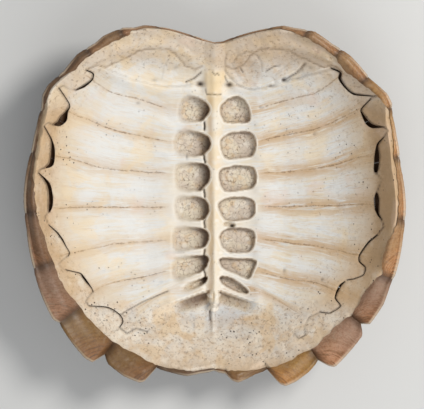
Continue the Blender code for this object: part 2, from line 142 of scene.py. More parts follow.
def smooth_max(a: Array, b: Array, radius: float) -> Array:
    """The higher of two heights, with a fillet of this radius where they meet."""
    h = np.clip(0.5 + 0.5 * (a - b) / radius, 0.0, 1.0)
    return b * (1 - h) + a * h + radius * h * (1 - h)


def softened(path: Path, times: int = 2) -> Path:
    """A closed outline with its corners cut off, so that it runs smoothly."""
    for _ in range(times):
        path = tuple(
            (a[0] * u + b[0] * (1 - u), a[1] * u + b[1] * (1 - u))
            for a, b in zip(path, (*path[1:], path[0]))
            for u in (0.78, 0.22)
        )
    return path


def path_depth(x: Array, y: Array, path: Path) -> Array:
    """Distance of each point from a closed outline, negative inside it."""
    enclosed = np.zeros(x.shape, bool)
    for a, b in zip(path, (*path[1:], path[0])):
        crosses = (a[1] > y) != (b[1] > y)
        at = a[0] + (y - a[1]) * (b[0] - a[0]) / (b[1] - a[1] if b[1] != a[1] else TINY)
        enclosed ^= crosses & (x < at)
    away = line_distance(x, y, (*path, path[0]))
    return np.where(enclosed, -away, away)


def line_distance(x: Array, y: Array, path: Path) -> Array:
    """Distance of each point from a path of straight pieces, less its half width where it has one."""
    best = np.full_like(x, FAR)
    for a, b in zip(path, path[1:]):
        dx, dy = b[0] - a[0], b[1] - a[1]
        share = np.clip(((x - a[0]) * dx + (y - a[1]) * dy) / (dx * dx + dy * dy + TINY), 0, 1)
        away = np.hypot(x - a[0] - dx * share, y - a[1] - dy * share)
        if len(a) > 2:
            away -= a[2] + (b[2] - a[2]) * share
        best = np.minimum(best, away)
    return best


def nearest_line(x: Array, y: Array, paths: tuple[Path, ...]) -> Array:
    """Distance of each point from the nearest of several paths."""
    return np.min([line_distance(x, y, path) for path in paths], axis=0)


def oval(x: Array, y: Array, px: float, py: float, wide: float, long: float) -> Array:
    """Distance of each point from a middle, counted in the half sizes of an oval round it."""
    return np.hypot((x - px) / wide, (y - py) / long)


def polar(x: Array, y: Array) -> tuple[Array, Array]:
    """Angle of plan points in degrees from the head end, left positive, and distance from the middle."""
    return np.degrees(np.arctan2(-x, y)), np.hypot(x, y)


def spot(angle: Array, radius: Array) -> tuple[Array, Array]:
    """The plan point at an angle in degrees and a distance, the other way round from polar."""
    turn = np.radians(angle)
    return -radius * np.sin(turn), radius * np.cos(turn)


@dataclass(frozen=True)
class Plan:
    """Sizes of the shell. Plan positions are in UNITs from its middle, +x right and +y to the head end.

    Outlines and margins are (angle, distance) pairs, with the angle in degrees from the head end.
    """

    outline_left: Keys = (
        (0, 165), (3, 167.8), (9, 175.8), (15, 185.8), (21, 194.5), (24, 196), (27, 200.8), (33, 203.5),
        (36, 202.2), (42, 204.8), (48, 202.4), (54, 206), (57, 204.8), (60, 199.5), (66, 194.8), (72, 191.5),
        (87, 190.8), (97, 189), (108, 190.8), (117, 194.2), (125, 197), (127, 194.2), (133, 196.8),
        (139.5, 199.4), (142, 198), (143.6, 185), (146, 190), (152, 192.4), (157, 191.6), (158.2, 189),
        (160.4, 172), (166, 171.8), (171, 172), (175, 168), (180, 165),
    )
    outline_right: Keys = (
        (0, 165), (3, 166), (9, 174.5), (15, 184), (21, 194), (24, 195.8), (30, 202), (36, 201.2),
        (42, 203.5), (51, 202), (57, 206.8), (60, 205.8), (63, 200.5), (69, 195.8), (78, 191), (90, 192),
        (99, 191.6), (111, 194), (114, 193.2), (120, 196), (127, 195.6), (128.6, 189), (131, 197),
        (137, 199),
        (143, 201.2), (144.2, 197), (145.9, 186.5), (150, 190.8), (155, 193.5), (158.2, 193.6), (159.5, 190),
        (162, 172.2), (166, 173), (172, 178), (174, 175.5), (176, 168), (180, 165),
    )
    seams_left: tuple[float, ...] = (7, 17, 28, 39, 50, 61, 73.5, 92, 109, 127, 143.6, 160.4, 180)
    seams_right: tuple[float, ...] = (7, 17, 28, 39, 50, 61, 75, 94, 112.2, 128.6, 145.9, 162, 180)
    margin_left: Keys = (
        (0, 170), (21, 194), (24, 195), (26.5, 192.4), (33, 194.5), (42, 196), (47, 196.5), (50, 199.5),
        (57.7, 199),
        (60, 197), (67, 190.5), (75.5, 184.3), (83.3, 181.5), (91.6, 178.7), (98.4, 174.5), (106.8, 172.2),
        (117.3, 169.8), (126.4, 169.6), (133, 168.2), (143.8, 169.6), (150, 168), (159.7, 168.6),
        (166, 168.4),
        (173, 166.4), (180, 164.6),
    )
    margin_right: Keys = (
        (0, 170), (18, 189), (21, 189.5), (24, 191.5), (28.4, 193), (34.8, 194), (38.9, 193.5), (44, 189.5),
        (50.7, 192), (55.8, 199), (61, 200), (68.2, 190.5), (75.7, 186.2), (83.6, 185.4), (96.1, 182.5),
        (101.7, 177.8), (106.7, 178.4), (112, 181), (113.6, 176.5), (120.7, 174.5), (128.2, 175),
        (136.2, 170.5),
        (143.1, 173.6), (150.4, 172), (156.9, 172.6), (162, 170), (165, 169.6), (172.5, 166.9), (180, 164.6),
    )
    key_angles: tuple[float, ...] = (0, 45, 90, 135, 180)
    dome_reach: tuple[float, ...] = (178, 199, 191, 197, 178)
    edge_z: tuple[float, ...] = (74 * MM, 86 * MM, 98 * MM, 85 * MM, 76 * MM)
    lip_thick: tuple[float, ...] = (5 * MM, 9 * MM, 17 * MM, 7.5 * MM, 5.5 * MM)
    gap_thick: tuple[float, ...] = (7 * MM, 7 * MM, 7 * MM, 7.5 * MM, 7 * MM)
    band_width: tuple[float, ...] = (3, 7, 12, 27, 7)
    gap_inset: tuple[float, ...] = (34, 17, 25, 45, 40)
    dome_power: tuple[float, ...] = (3.5, 2.8, 2.6, 2.8, 3.5)
    flare: tuple[float, ...] = (0.1, 0.1, 0.0, 0.4, 0.35)
    dome_z: float = 4.5 * MM
    plate: float = 6 * MM
    head_plate: float = 7.5 * MM
    edge_thick: float = 0.8 * MM
    edge_inset: float = 1.8
    scute_row: float = 0.84
    rim_plane: float = 100 * MM
    sight: float = 1400 * MM
    shift: tuple[float, float] = (-0.59 * MM, 0.42 * MM)

    def around(self, values: tuple[float, ...], angle: Array) -> Array:
        """A row of sizes read at angles counted from the head end."""
        turned = np.abs((angle + 180) % 360 - 180)
        return keyed(list(zip(self.key_angles, values)), turned)

    @staticmethod
    def read_sides(angle: Array, left: Keys, right: Keys) -> Array:
        """Values measured round the left and the right half, read at angles."""
        angle = (angle + 180) % 360 - 180
        return np.where(angle >= 0, np.interp(angle, *zip(*left)), np.interp(-angle, *zip(*right)))

    def reach(self, angle: Array) -> Array:
        """How far out the horn's edge lies at each angle."""
        return self.read_sides(angle, self.outline_left, self.outline_right)

    def bone_reach(self, angle: Array) -> Array:
        """How far out the bone's edge lies at each angle."""
        return self.reach(angle) - self.edge_inset

    def margin(self, angle: Array) -> Array:
        """How far in the horn reaches over the rim at each angle."""
        return self.read_sides(angle, self.margin_left, self.margin_right)

    def outside(self, x: Array, y: Array) -> Array:
        """Height of the bone's outer face over plan points."""
        angle, radius = polar(x, y)
        share = radius / self.around(self.dome_reach, angle)
        power = self.around(self.dome_power, angle)
        flare = self.around(self.flare, angle)
        rise = (1 + flare) * share**power - flare * share ** (2 * power)
        return self.dome_z + (self.around(self.edge_z, angle) - self.dome_z) * rise

    def gap_reach(self, angle: Array) -> Array:
        """Where the plates end and the rim's own bones begin."""
        return self.around(self.dome_reach, angle) - self.around(self.gap_inset, angle)

    def thickness(self, x: Array, y: Array) -> Array:
        """Upright thickness of the bone over plan points."""
        angle, radius = polar(x, y)
        far = self.bone_reach(angle)
        lip = far - np.maximum(self.around(self.band_width, angle) * 0.75, 3)
        gap = self.gap_reach(angle)
        keys = [
            (gap - 75, self.head_plate),
            (gap - 30, self.plate),
            (gap, self.around(self.gap_thick, angle)),
            (lip, self.around(self.lip_thick, angle)),
            (far, self.edge_thick),
        ]
        return keyed(keys, radius)

    def inside(self, x: Array, y: Array) -> Array:
        """Height of the bone's inner face, before its relief."""
        return self.outside(x, y) + self.thickness(x, y)

    def placed(self, x: Array, y: Array, z: Array) -> Array:
        """Points in metres, drawn out a little where they lie under the rim's height."""
        spread = UNIT * (self.sight - z) / (self.sight - self.rim_plane)
        return np.stack([x * spread + self.shift[0], y * spread + self.shift[1], z], axis=-1)

    def plan_of(self, points: Array) -> tuple[Array, Array]:
        """The plan position of points in metres, the other way round from placed."""
        spread = UNIT * (self.sight - points[:, 2]) / (self.sight - self.rim_plane)
        return (points[:, 0] - self.shift[0]) / spread, (points[:, 1] - self.shift[1]) / spread


@dataclass(frozen=True)
class Anatomy:
    """The column, ribs, ridges and openings of the bony shell, in UNITs of the plan.

    Openings are rows of x, y and half width, and strokes a path with its depth. Pits, basins and stains
    start with x, y and two half sizes. Pits and basins end with a depth, and stains with where they begin
    and how strong they are. Grooves are a path, a depth and a width.
    """

    joints: tuple[float, ...] = (112, 80, 48, 13, -18, -47, -66, -81)
    hollow_floor: float = 2.4 * MM
    swell: float = 2.8 * MM
    rib_high: float = 15.0 * MM
    rib_low: float = 10.6 * MM
    column_high: float = 3.4 * MM
    last_rib: tuple[float, float] = (-81, -95.5)
    slits: tuple[float, ...] = (80.5, 47.5, 13, -17.5, -47, -66.5)
    hollows_left: tuple[Path, ...] = (
        ((-36, 93), (-34, 105.5), (-27, 111.5), (-20, 111), (-12, 107.5), (-6, 103.5), (-3, 96.5),
         (-5, 91.5), (-8.5, 88.5), (-10, 85), (-27, 83.5), (-35, 85)),
        ((-39, 75), (-29, 77), (-18.5, 76), (-9.5, 73), (-4, 69), (-2, 63.5), (-4, 57), (-8, 53),
         (-11, 50), (-27, 49), (-39.5, 52)),
        ((-39.5, 41), (-31, 44), (-16.5, 44.5), (-7, 42), (-3.5, 36.5), (-3, 31.5), (-5, 23.5), (-9.5, 19),
         (-12, 15), (-25.5, 14.5), (-38, 17)),
        ((-39.5, 8), (-31, 11), (-16.5, 10.5), (-8.5, 7.5), (-4.5, 3), (-4, -2.5), (-6, -10), (-9.5, -14),
         (-22, -15), (-38, -13.5)),
        ((-40.5, -22), (-32.5, -20), (-16.5, -20), (-7, -23), (-4, -28.5), (-5.5, -35.5), (-9.5, -42),
         (-22, -43), (-34.5, -46.5), (-41.5, -45.5)),
        ((-41.5, -52), (-31, -49.5), (-14.5, -48.5), (-6.5, -49), (-4.5, -52.5), (-6.5, -60), (-11, -65),
         (-22, -69.5), (-36, -75), (-41.5, -72)),
        ((-33, -83), (-26.5, -76.5), (-16.5, -73), (-7, -69.5), (-5.5, -71.5), (-8.5, -77.5), (-18.5, -83),
         (-27, -85.5)),
    )
    hollows_right: tuple[Path, ...] = (
        ((5, 95.5), (7.5, 103.5), (15, 109), (23, 111), (31, 107.5), (35.5, 99.5), (37.5, 91),
         (36.5, 84.5), (31.5, 83), (10.5, 83), (7.5, 88.5)),
        ((5, 65), (8.5, 70.5), (17.5, 74.5), (31.5, 76), (40, 73), (42.5, 65), (42.5, 56.5), (39, 49),
         (24.5, 47), (11.5, 46.5), (7.5, 53.5)),
        ((3.5, 32), (6.5, 38), (17.5, 41), (33.5, 41.5), (41, 39), (43.5, 30.5), (42.5, 21.5), (38, 16.5),
         (23, 15), (10.5, 13.5), (6.5, 20.5)),
        ((2.5, 1), (6.5, 6.5), (17.5, 10), (31.5, 10.5), (40, 7), (42.5, 0), (41, -10), (34.5, -13.5),
         (21, -15), (11.5, -15), (6, -8.5)),
        ((4, -30.5), (7.5, -24.5), (15, -21), (31.5, -21), (40, -24), (42, -32), (40.5, -41),
         (35.5, -46.5), (23, -47), (14, -46.5), (7, -40.5)),
        ((3.5, -53), (7.5, -50.5), (23, -51.5), (39, -51.5), (44, -55.5), (40.5, -64), (35.5, -74.5),
         (26.5, -70.5), (17.5, -66), (7.5, -62.5)),
        ((4.5, -71.5), (7.5, -69), (16.5, -70), (24.5, -74.5), (35.5, -83.5), (34.5, -89), (21, -85.5),
         (10.5, -80), (5.5, -75)),
    )
    broken_rib: Path = ((12, -17.5), (19, -19))
    swoop: Path = ((14, 119), (23, 117.5), (49, 117), (84, 124.5), (107, 136), (122, 140))
    brow: Path = ((20, 149), (45, 160), (67, 162), (93, 156), (116, 146), (132, 138))
    basin_seam: Path = (
        (12, 140), (20, 137), (29, 141), (36, 150), (45, 157), (62, 157.5), (75, 156), (86, 149.5),
        (99, 144), (108, 139), (120, 141), (128, 135),
    )
    openings: tuple[Path, ...] = (
        ((-128, 136.5, 0.5), (-121, 133, 0.6), (-122, 127, 0.8), (-130, 120.5, 1.4), (-138, 116.5, 0.7)),
        ((-155, 118.5, 0.4), (-144.5, 102, 0.5), (-147.5, 95, 1.6), (-151, 88, 4.2), (-155, 83.5, 3.2),
         (-161, 82, 0.8)),
        ((-170, 80.5, 0.4), (-163, 67.5, 0.8), (-161.5, 57, 2.3), (-163, 43, 2.6), (-169.5, 38.5, 0.7)),
        ((-175.4, 33.5, 0.4), (-166, 22.5, 2.0), (-163.5, 10, 2.4), (-163.8, 1, 2.4), (-165, -5.5, 1)),
        ((-165.2, -18.4, 0.3), (-156.9, -26, 0.7), (-151.8, -33, 0.8), (-148, -40, 0.4), (-144.5, -46, 0.35),
         (-146, -50, 0.4)),
        ((-148, -63.4, 0.3), (-134, -66.8, 0.45), (-131.4, -70, 1.1), (-127.6, -75.1, 1.1),
         (-122.5, -81.5, 0.4), (-121, -85.5, 0.3)),
        ((-125, -99.4, 0.3), (-106, -101, 0.5), (-94.6, -108, 0.5), (-91, -115, 0.45), (-94.4, -121, 0.35)),
        ((117, 138.5, 0.5), (126.5, 134.5, 1.3), (126, 128, 1.6), (131, 120, 1.1), (140, 112.5, 1.0),
         (159, 110.5, 0.4)),
        ((157, 108, 0.4), (147.5, 97.5, 0.6), (149, 92, 1.4), (154, 84, 2.6), (159, 80.5, 2.2),
         (170, 79.5, 0.4)),
        ((170, 69.5, 0.4), (164, 62, 1.1), (163.5, 50, 2.9), (162.5, 38, 2.6), (162, 34, 1.6)),
        ((163, 14, 1.0), (163, 8, 2.9), (163.2, -2, 2.4), (164.5, -8, 1.2), (168, -13.5, 0.5)),
        ((163.5, -28.3, 0.6), (154.5, -36, 0.8), (145.8, -48.5, 0.6), (145.6, -55.3, 0.6), (151.5, -61, 0.5),
         (149.3, -68.5, 0.4), (140.3, -72.4, 0.4), (133, -73.6, 0.4)),
        ((131, -75, 0.4), (126, -80, 1.2), (121.4, -91.5, 0.6), (126.6, -99.6, 0.4), (116, -106.6, 0.35),
         (106, -105.6, 0.3)),
    )
    tip_seams: tuple[Path, ...] = (
        ((-138, 116.5), (-146, 118), (-150, 121), (-155, 118.5)),
        ((-161, 82), (-166, 84), (-170, 80.5)),
        ((-169.5, 38.5), (-174, 37), (-175.4, 33.5)),
        ((-165, -5.5), (-169, -10), (-165, -18.5)),
        ((-146, -50), (-151, -53), (-155, -57.5), (-152, -61.5), (-148, -63.4)),
        ((-121, -85.5), (-126, -91), (-128, -95), (-125, -99.4)),
        ((-94.4, -121), (-87, -127), (-78, -122), (-66.3, -125)),
        ((159, 110.5), (162, 111), (157, 108)),
        ((170, 79.5), (174, 76), (170, 69.5)),
        ((162, 34), (168, 27), (163, 14)),
        ((168, -13.5), (170, -20), (163.5, -28.3)),
        ((106, -105.6), (95.2, -110.7), (90, -119.8), (91.3, -128.8), (84.9, -132), (74.6, -122.3)),
    )
    cracks: tuple[Path, ...] = (
        ((-1.5, 134), (1.2, 131.4), (3.4, 133), (5, 131)), ((11, 130.5), (12, 126.5), (13.5, 124.5)),
        ((-28, 124.5), (-20, 128), (-13, 134)), ((29, 134), (26, 139)), ((52, 135), (60, 140), (66, 141)),
        ((-3.4, -103), (-4.6, -108), (-3.9, -113)), ((-7, 112), (-1.5, 112.4), (3, 111.2), (7, 111.9)),
        ((-93.4, -108), (-71.4, -95.5), (-54.9, -88.5), (-45.9, -84.7)), ((-8.6, 117), (-7.6, 113)),
    )
    strokes: tuple[tuple[Path, float], ...] = (
        (((11.2, 135.7), (15, 130), (19.6, 124.9), (26, 120.4), (34, 117.7), (43, 117.2), (52, 118.3)),
         0.42),
        (((70, 124.9), (85, 129), (100, 132.4), (119, 136.9)), 0.3),
        (((70, 126.1), (76, 130), (82, 133.3), (87, 138), (91.5, 142.9)), 0.5),
        (((-14, 125), (-24, 121.6), (-37, 120), (-56, 120.6), (-80, 126), (-112, 140)), 0.22),
        (((37, 140), (42, 147), (50, 153)), 0.16), (((18, 143), (24, 131), (31, 124)), 0.2),
        (((62, 131), (72, 141), (84, 148)), 0.18), (((-52, 128), (-50, 140), (-44, 149)), 0.16),
        (((20, 145), (24, 151), (33, 154.5), (42, 152), (47, 145), (48, 137)), 0.26),
        (((12.5, 153), (11, 145), (11.2, 135.7)), 0.3),
    )
    knobs: Path = (
        (4.9, 49.2), (3.2, 17.9), (3.2, -14.2), (6.7, -46.4), (7.6, -66), (8.5, -80.3), (-10.2, -66.9),
        (-9.3, -81.2),
    )
    pits: Path = (
        (-14, 122.4, 3.4, 2.2, 5.0), (14.9, 121.6, 3.2, 2.2, 5.0), (57, 120.4, 4.6, 1.3, 2.0),
        (69.5, 126.5, 2.2, 1.6, 4.0), (-60, 126, 2.6, 1.4, 1.0), (-38, 139, 2.6, 1.4, 1.0),
        (96, 139, 2.4, 1.2, 1.2), (18, -20, 2.2, 1.5, 4.0),
        (-27, 50, 0.9, 3.0, 1.5), (-26, 0, 1.2, 1.6, 1.2), (46, 99, 1.4, 1.2, 1.4), (70, -64, 1.2, 2.2, 1.4),
        (108, -73, 1.6, 1.4, 1.8), (100, 72, 1.6, 1.2, 1.2), (-76, 103, 2.0, 1.5, 1.2),
    )
    basins: Path = (
        (31, 134, 23, 13, 4.2), (-33, 136, 24, 13, 3.2), (76, 142, 24, 12, 2.8), (-72, 140, 30, 13, 2.4),
    )
    stains: Path = (
        (31, 135, 19, 17, 1.25, 1.0), (66, 138, 17, 12, 1.2, 0.7), (-36, 136, 22, 12, 1.2, 0.35),
    )
    grooves: tuple[tuple[Path, float, float], ...] = (
        (((69, 126.5), (77.6, 130.4), (85.3, 135.5), (90.4, 143)), 2.2, 1.5),
        (((-28, 124.5), (-20, 128), (-13, 134)), 1.6, 1.1), (((17, 128), (28, 124), (40, 122)), 1.0, 1.3),
        (((72, 124), (96, 131), (122, 139)), 1.4, 1.3),
    )
    tail_lobe: tuple[float, ...] = (5.8, -91.6, 4.4, 2.3)
    tail_lump: tuple[float, ...] = (-0.5, -101.5, 5.0, 3.6)

    def phase(self, x: Array, y: Array) -> Array:
        """Which plate a point lies on: whole numbers at the seams, halves along the ribs."""
        side = np.abs(x)
        spread = self.spread(side)
        bend = 0.45 * step(0, 9, -y - 76 - (side - 45) * 0.6) * step(0, 45, 95 - side)
        wander = 0.05 * lattice(x, y, 38, 5) + 0.015 * lattice(x, y, 9, 6)
        return 4 - y / spread + bend + wander

    def spread(self, side: Array) -> Array:
        """Distance from one seam of the plates to the next."""
        return np.interp(side, (0, 45, 100, 140, 180), (32, 32.5, 37.8, 46.5, 56))


class Relief:
    """Heights and masks of the bowl's inner face, worked out for whole arrays of plan points."""

    def __init__(self, plan: Plan, anatomy: Anatomy) -> None:
        """Keeps the sizes it works from."""
        self.plan = plan
        self.anatomy = anatomy

    def under_last(self, side: Array, y: Array) -> Array:
        """How far each point lies behind the last rib head, negative in front of it."""
        high, low = self.anatomy.last_rib
        return high + (low - high) * np.clip((side - 3) / 41, 0, 1.1) - 2.9 - y

    def hollows(self, x: Array, y: Array) -> tuple[Array, Array]:
        """How deep in a hollow each point lies, from 0 outside to 1 on its floor, and how shaded it is."""
        anatomy = self.anatomy
        weight, shade = np.zeros_like(x), np.zeros_like(x)
        ragged = 0.4 * lattice(x, y, 5, 31) + 0.25 * lattice(x, y, 2.2, 32)
        for path in (*anatomy.hollows_left, *anatomy.hollows_right):
            across, along = [p[0] for p in path], [p[1] for p in path]
            near = (x > min(across) - 9) & (x < max(across) + 9)
            near &= (y > min(along) - 9) & (y < max(along) + 9)
            u, v = x[near], y[near]
            distance = path_depth(u, v, softened(path)) + ragged[near]
            inner, outer = sorted((min(across), max(across)), key=abs)
            out = (u - inner) / (outer - inner)
            fade = step(0.3, 0.85, out) if outer < 0 else 0.0
            weight[near] = np.maximum(weight[near], ease(-(distance - 2.5 * fade) / (1.7 + 7.0 * fade)))
            high = step(max(along) - 9, max(along) - 1, v)
            if outer < 0:
                dark = step(0.5, 0.0, out) + 0.35 * high * (1 - fade)
            else:
                dark = step(-4.5, -0.5, distance) * (0.35 * high + 0.3 * out)
            shade[near] = np.maximum(shade[near], np.clip(dark, 0, 1) * step(1.0, -1.0, distance))
        gash = line_distance(x, y, anatomy.broken_rib) + 0.8 * lattice(x, y, 3, 38)
        weight = np.maximum(weight, 0.5 * step(3.2, 0.6, gash))
        side = np.abs(x)
        under = self.under_last(side, y)
        scoop = 0.75 * step(-0.5, 1.5, under) * step(16, 3, under) * step(44, 26, side) * step(3, 8, side)
        near_column = 1 + 0.35 * step(26, 8, side)
        shade = np.maximum(shade, np.clip(scoop * np.where(x < 0, 1.1, 0.75) * near_column, 0, 1))
        return np.maximum(weight, scoop), shade

    def spine(self, x: Array, y: Array) -> Array:
        """Height above the outer face of the column and rib heads, before the hollows between them."""
        anatomy = self.anatomy
        side = np.abs(x)
        share = ease(np.clip((side - 2) / 41, 0, 1))
        rise = anatomy.rib_high + (anatomy.rib_low - anatomy.rib_high) * share
        rise += anatomy.column_high * bump(x - 0.7, 5.5)
        rise -= 6 * MM * step(42, 58, side) + 40 * MM * step(56, 80, side)
        for place in anatomy.joints:
            wave = place + 0.8 * lattice(x, x * 0 + place, 3, 36)
            rise += 0.9 * MM * bump(y - place, 4.5) * bump(x, 11)
            rise -= 0.7 * MM * bump(y - wave, 0.5) * bump(x, 8)
        back = step(30, -10, y)
        rise -= 2.0 * MM * back * step(0.6, -3.6, x + 0.6 * lattice(y, y * 0, 9, 39)) * step(-13, -8, x)
        rise += 0.4 * MM * back * bump(x - 1.2, 1.4)
        rise -= 0.5 * MM * rough(x, y, 7, 37) * bump(x, 12)
        slit = self.slit(x, y, 0.85)
        for place in anatomy.slits:
            rise -= 4.5 * MM * slit * step(5.5, 3.5, np.abs(y - place))
        front = step(108, 124, y)
        rise -= (7.5 * front * step(6, 15, side) + 3.2 * front + 6.0 * step(124, 142, y)) * MM
        behind = step(-1.6, 1.2, self.under_last(side, y))
        rise -= 16 * MM * behind * step(5.2, 7.4, np.hypot(x - 0.5, (y + 90) * 0.6))
        for u, v in ((-6.2, -89.6), (6.2, -90.4)):
            rise = np.maximum(rise, (15.6 - 3.4 * oval(x, y, u, v, 4.4, 3.6) ** 2) * MM)
        return rise

    def plates(self, x: Array, y: Array) -> Array:
        """Low relief of the ribs, their seams and the fine streaks along them."""
        anatomy = self.anatomy
        side = np.abs(x)
        phase = anatomy.phase(x, y)
        spread = anatomy.spread(side)
        off = (phase - np.floor(phase) - 0.5) * spread
        seam = np.abs(phase - np.round(phase)) * spread
        angle, radius = polar(x, y)
        gap = self.plan.gap_reach(angle)
        width = np.interp(side, (42, 60, 100, 160), (5.0, 8, 14, 16))
        tall = np.interp(side, (42, 55, 80, 120, 160), (2.6, 1.6, 0.8, 0.8, 1.7))
        there = step(34, 46, side) * step(14, 2, radius - gap) * within(phase, 0.8, 1.3, 7.4, 8.2)
        rise = tall * bump(off, width) * there
        teeth = seam + 0.9 * lattice(x, y, 3.0, 8)
        line = step(46, 54, side) * step(4, -6, radius - gap) * within(phase, 0.75, 1.0, 6.9, 7.4)
        rise -= 0.55 * bump(teeth, 0.9) * line
        streaks = lattice(phase * 26, side, 1.6, 9) * 0.6 + lattice(phase * 60, side * 0.6, 2.2, 10) * 0.4
        rise += 0.2 * streaks * step(40, 60, side) * step(10, -4, radius - gap)
        pits = rough(x, y, 4.0, 42, 2)
        rise -= 1.1 * step(0.55, 0.8, pits) * step(0.7, 0.92, radius / gap)
        return rise * MM

    def head_end(self, x: Array, y: Array) -> Array:
        """Ridges, basins and pits in front of the column."""
        anatomy = self.anatomy
        side = np.abs(x)
        swoop = line_distance(side, y, anatomy.swoop)
        brow = line_distance(side, y, anatomy.brow)
        behind = y < np.interp(side, *zip(*anatomy.swoop))
        rise = 3.6 * bump(swoop, np.where(behind, 8.5, 3.4)) * step(10, 24, side) * step(126, 104, side)
        rise += 2.6 * bump(brow, np.where(y > 150, 5.0, 3.2)) * step(14, 40, side) * step(134, 112, side)
        for *place, deep in anatomy.basins:
            rise -= deep * ease(1.15 - oval(x, y, *place))
        rise += 0.8 * rough(x, y, 11, 41) * step(112, 128, y)
        for path, deep, width in anatomy.grooves:
            rise -= deep * bump(line_distance(x, y, path), width)
        return (rise - bump(self.basin_line(x, y), 0.9)) * MM

    def marks(self, x: Array, y: Array) -> Array:
        """Fine cracks, engraved strokes and small pits."""
        rise = np.zeros_like(x)
        for path in self.anatomy.cracks:
            rise -= bump(line_distance(x, y, path), 0.7)
        for path, depth in self.anatomy.strokes:
            rise -= 2.4 * depth * bump(self.scored(x, y, path), 1.2)
        for *place, deep in self.anatomy.pits:
            rise -= deep * bump(oval(x, y, *place), 1.0)
        return rise * MM

    def tail_end(self, x: Array, y: Array) -> Array:
        """The loose end of the column and the ridge behind it."""
        rise = 2.6 * bump(x + 0.5, 2.6) * step(-92, -100, y) * step(-138, -118, y)
        rise -= 1.1 * bump(x + 4.2, 1.3) * step(-98, -106, y) * step(-128, -112, y)
        rise += 2.4 * self.tail_lobes(x, y)
        lump = oval(x, y, *self.anatomy.tail_lump) + 0.25 * lattice(x, y, 4, 52)
        rise += 3.6 * ease(1.4 - lump)
        rise -= 1.2 * bump(x + 0.6, 0.7) * step(-84, -86, y) * step(-98, -95, y)
        rise += 0.9 * rough(x, y, 9, 51, 4) * step(-96, -116, y) * step(150, 90, np.abs(x))
        return rise * MM

    def slit(self, x: Array, y: Array, width: float) -> Array:
        """A bell over the wavy line beside the column where its slits run."""
        return bump(x + 9.4 - 0.7 * lattice(y, y * 0, 4, 34), width)

    def basin_line(self, x: Array, y: Array) -> Array:
        """Distance from the seam round the basins of the head end."""
        return line_distance(np.abs(x), y + 0.8 * lattice(x, y, 3, 43), self.anatomy.basin_seam)

    def scored(self, x: Array, y: Array, path: Path) -> Array:
        """Distance from one of the engraved strokes of the head end."""
        return line_distance(x, y + 0.7 * lattice(x, y, 4, 45), path)

    def tail_lobes(self, x: Array, y: Array) -> Array:
        """A bell over the pair of lobes at the loose end of the column."""
        side, (px, py, wide, long) = np.abs(x), self.anatomy.tail_lobe
        return bump(oval(side, y - 0.5 * side, px, py, wide, long), 1.0)

    def height(self, x: Array, y: Array) -> Array:
        """Height of the bowl's inner face with all its relief, in metres."""
        plan, anatomy = self.plan, self.anatomy
        low = plan.outside(x, y)
        angle, radius = polar(x, y)
        far = plan.bone_reach(angle)
        gap = plan.gap_reach(angle)
        side = np.abs(x)
        top = low + plan.thickness(x, y) + self.plates(x, y)
        top += anatomy.swell * step(72, 44, side) * within(y, -104, -84, 112, 126)
        top += self.head_end(x, y) * step(96, 112, y)
        hollow, _ = self.hollows(x, y)
        middle_low = plan.outside(np.zeros_like(y), y)
        base = low + (middle_low - low) * 0.6 * step(30, 6, side)
        top = smooth_max(top, base + self.spine(x, y), (1.6 + 3.0 * step(104, 116, y)) * MM)
        floor = low + anatomy.hollow_floor + 0.6 * MM * rough(x, y, 8, 21, 4)
        top = top * (1 - hollow) + floor * hollow
        top += self.tail_end(x, y)
        wall = step(-4, 6, radius - gap) * step(2, 8, far - radius)
        top += 1.5 * MM * rough(x, y, 15, 61) * wall
        top += 0.5 * MM * rough(x, y, 26, 62) * step(40, 60, side)
        edge = nearest_line(x, y, anatomy.openings)
        top -= 1.0 * MM * np.exp(-np.maximum(edge, 0) / 1.1)
        top -= 1.1 * MM * bump(nearest_line(x, y, anatomy.tip_seams), 0.8)
        top += self.marks(x, y)
        return np.maximum(top, low + 1.2 * MM * step(0, 1, far - radius) + 0.3 * MM)

    def cavity(self, x: Array, y: Array, height: Array, size: float) -> Array:
        """How far each point lies under the mean of its surroundings, in millimetres.

        Args:
            x: Plan position across.
            y: Plan position along.
            height: Height of the face there.
            size: How far round to look, in UNITs.

        Returns:
            The depth, negative on crests.
        """
        total = self.plan.inside(x, y) - height
        for turn in np.arange(6) * math.pi / 3 + 0.4:
            u, v = x + size * math.cos(turn), y + size * math.sin(turn)
            total += (self.height(u, v) - self.plan.inside(u, v)) / 6
        return total / MM


def new_object(name: str, work: bmesh.types.BMesh, sharp: float | None = None) -> bpy.types.Object:
    """Turns a finished bmesh into an object at the origin.

    Args:
        name: The object's name.
        work: The mesh, which is freed.
        sharp: Shades the mesh smooth, but edges bent more than this many degrees stay sharp.

    Returns:
        The linked object.
    """
    mesh = bpy.data.meshes.new(name)
    work.normal_update()
    work.to_mesh(mesh)
    work.free()
    made = bpy.data.objects.new(name, mesh)
    bpy.context.scene.collection.objects.link(made)
    if sharp is not None:
        mesh.shade_smooth()
        mesh.set_sharp_from_angle(angle=math.radians(sharp))
    return made


def combine(first: bpy.types.Object, second: bpy.types.Object, how: str, untangle: bool) -> None:
    """Changes the first solid by the second for good.

    Args:
        first: The solid that is changed.
        second: The solid it is changed by.
        how: The Boolean operation.
        untangle: Whether to clear up pieces of one solid that cross each other.
    """
    change = first.modifiers.new("combine", "BOOLEAN")
    change.operation, change.solver, change.object, change.use_self = how, "EXACT", second, untangle
    graph = bpy.context.evaluated_depsgraph_get()
    mesh = bpy.data.meshes.new_from_object(first.evaluated_get(graph))
    first.modifiers.clear()
    first.data = mesh


def moved(verts: list[bmesh.types.BMVert], points: Array) -> None:
    """Moves vertices to these points, in order."""
    for vert, point in zip(verts, points):
        vert.co = point


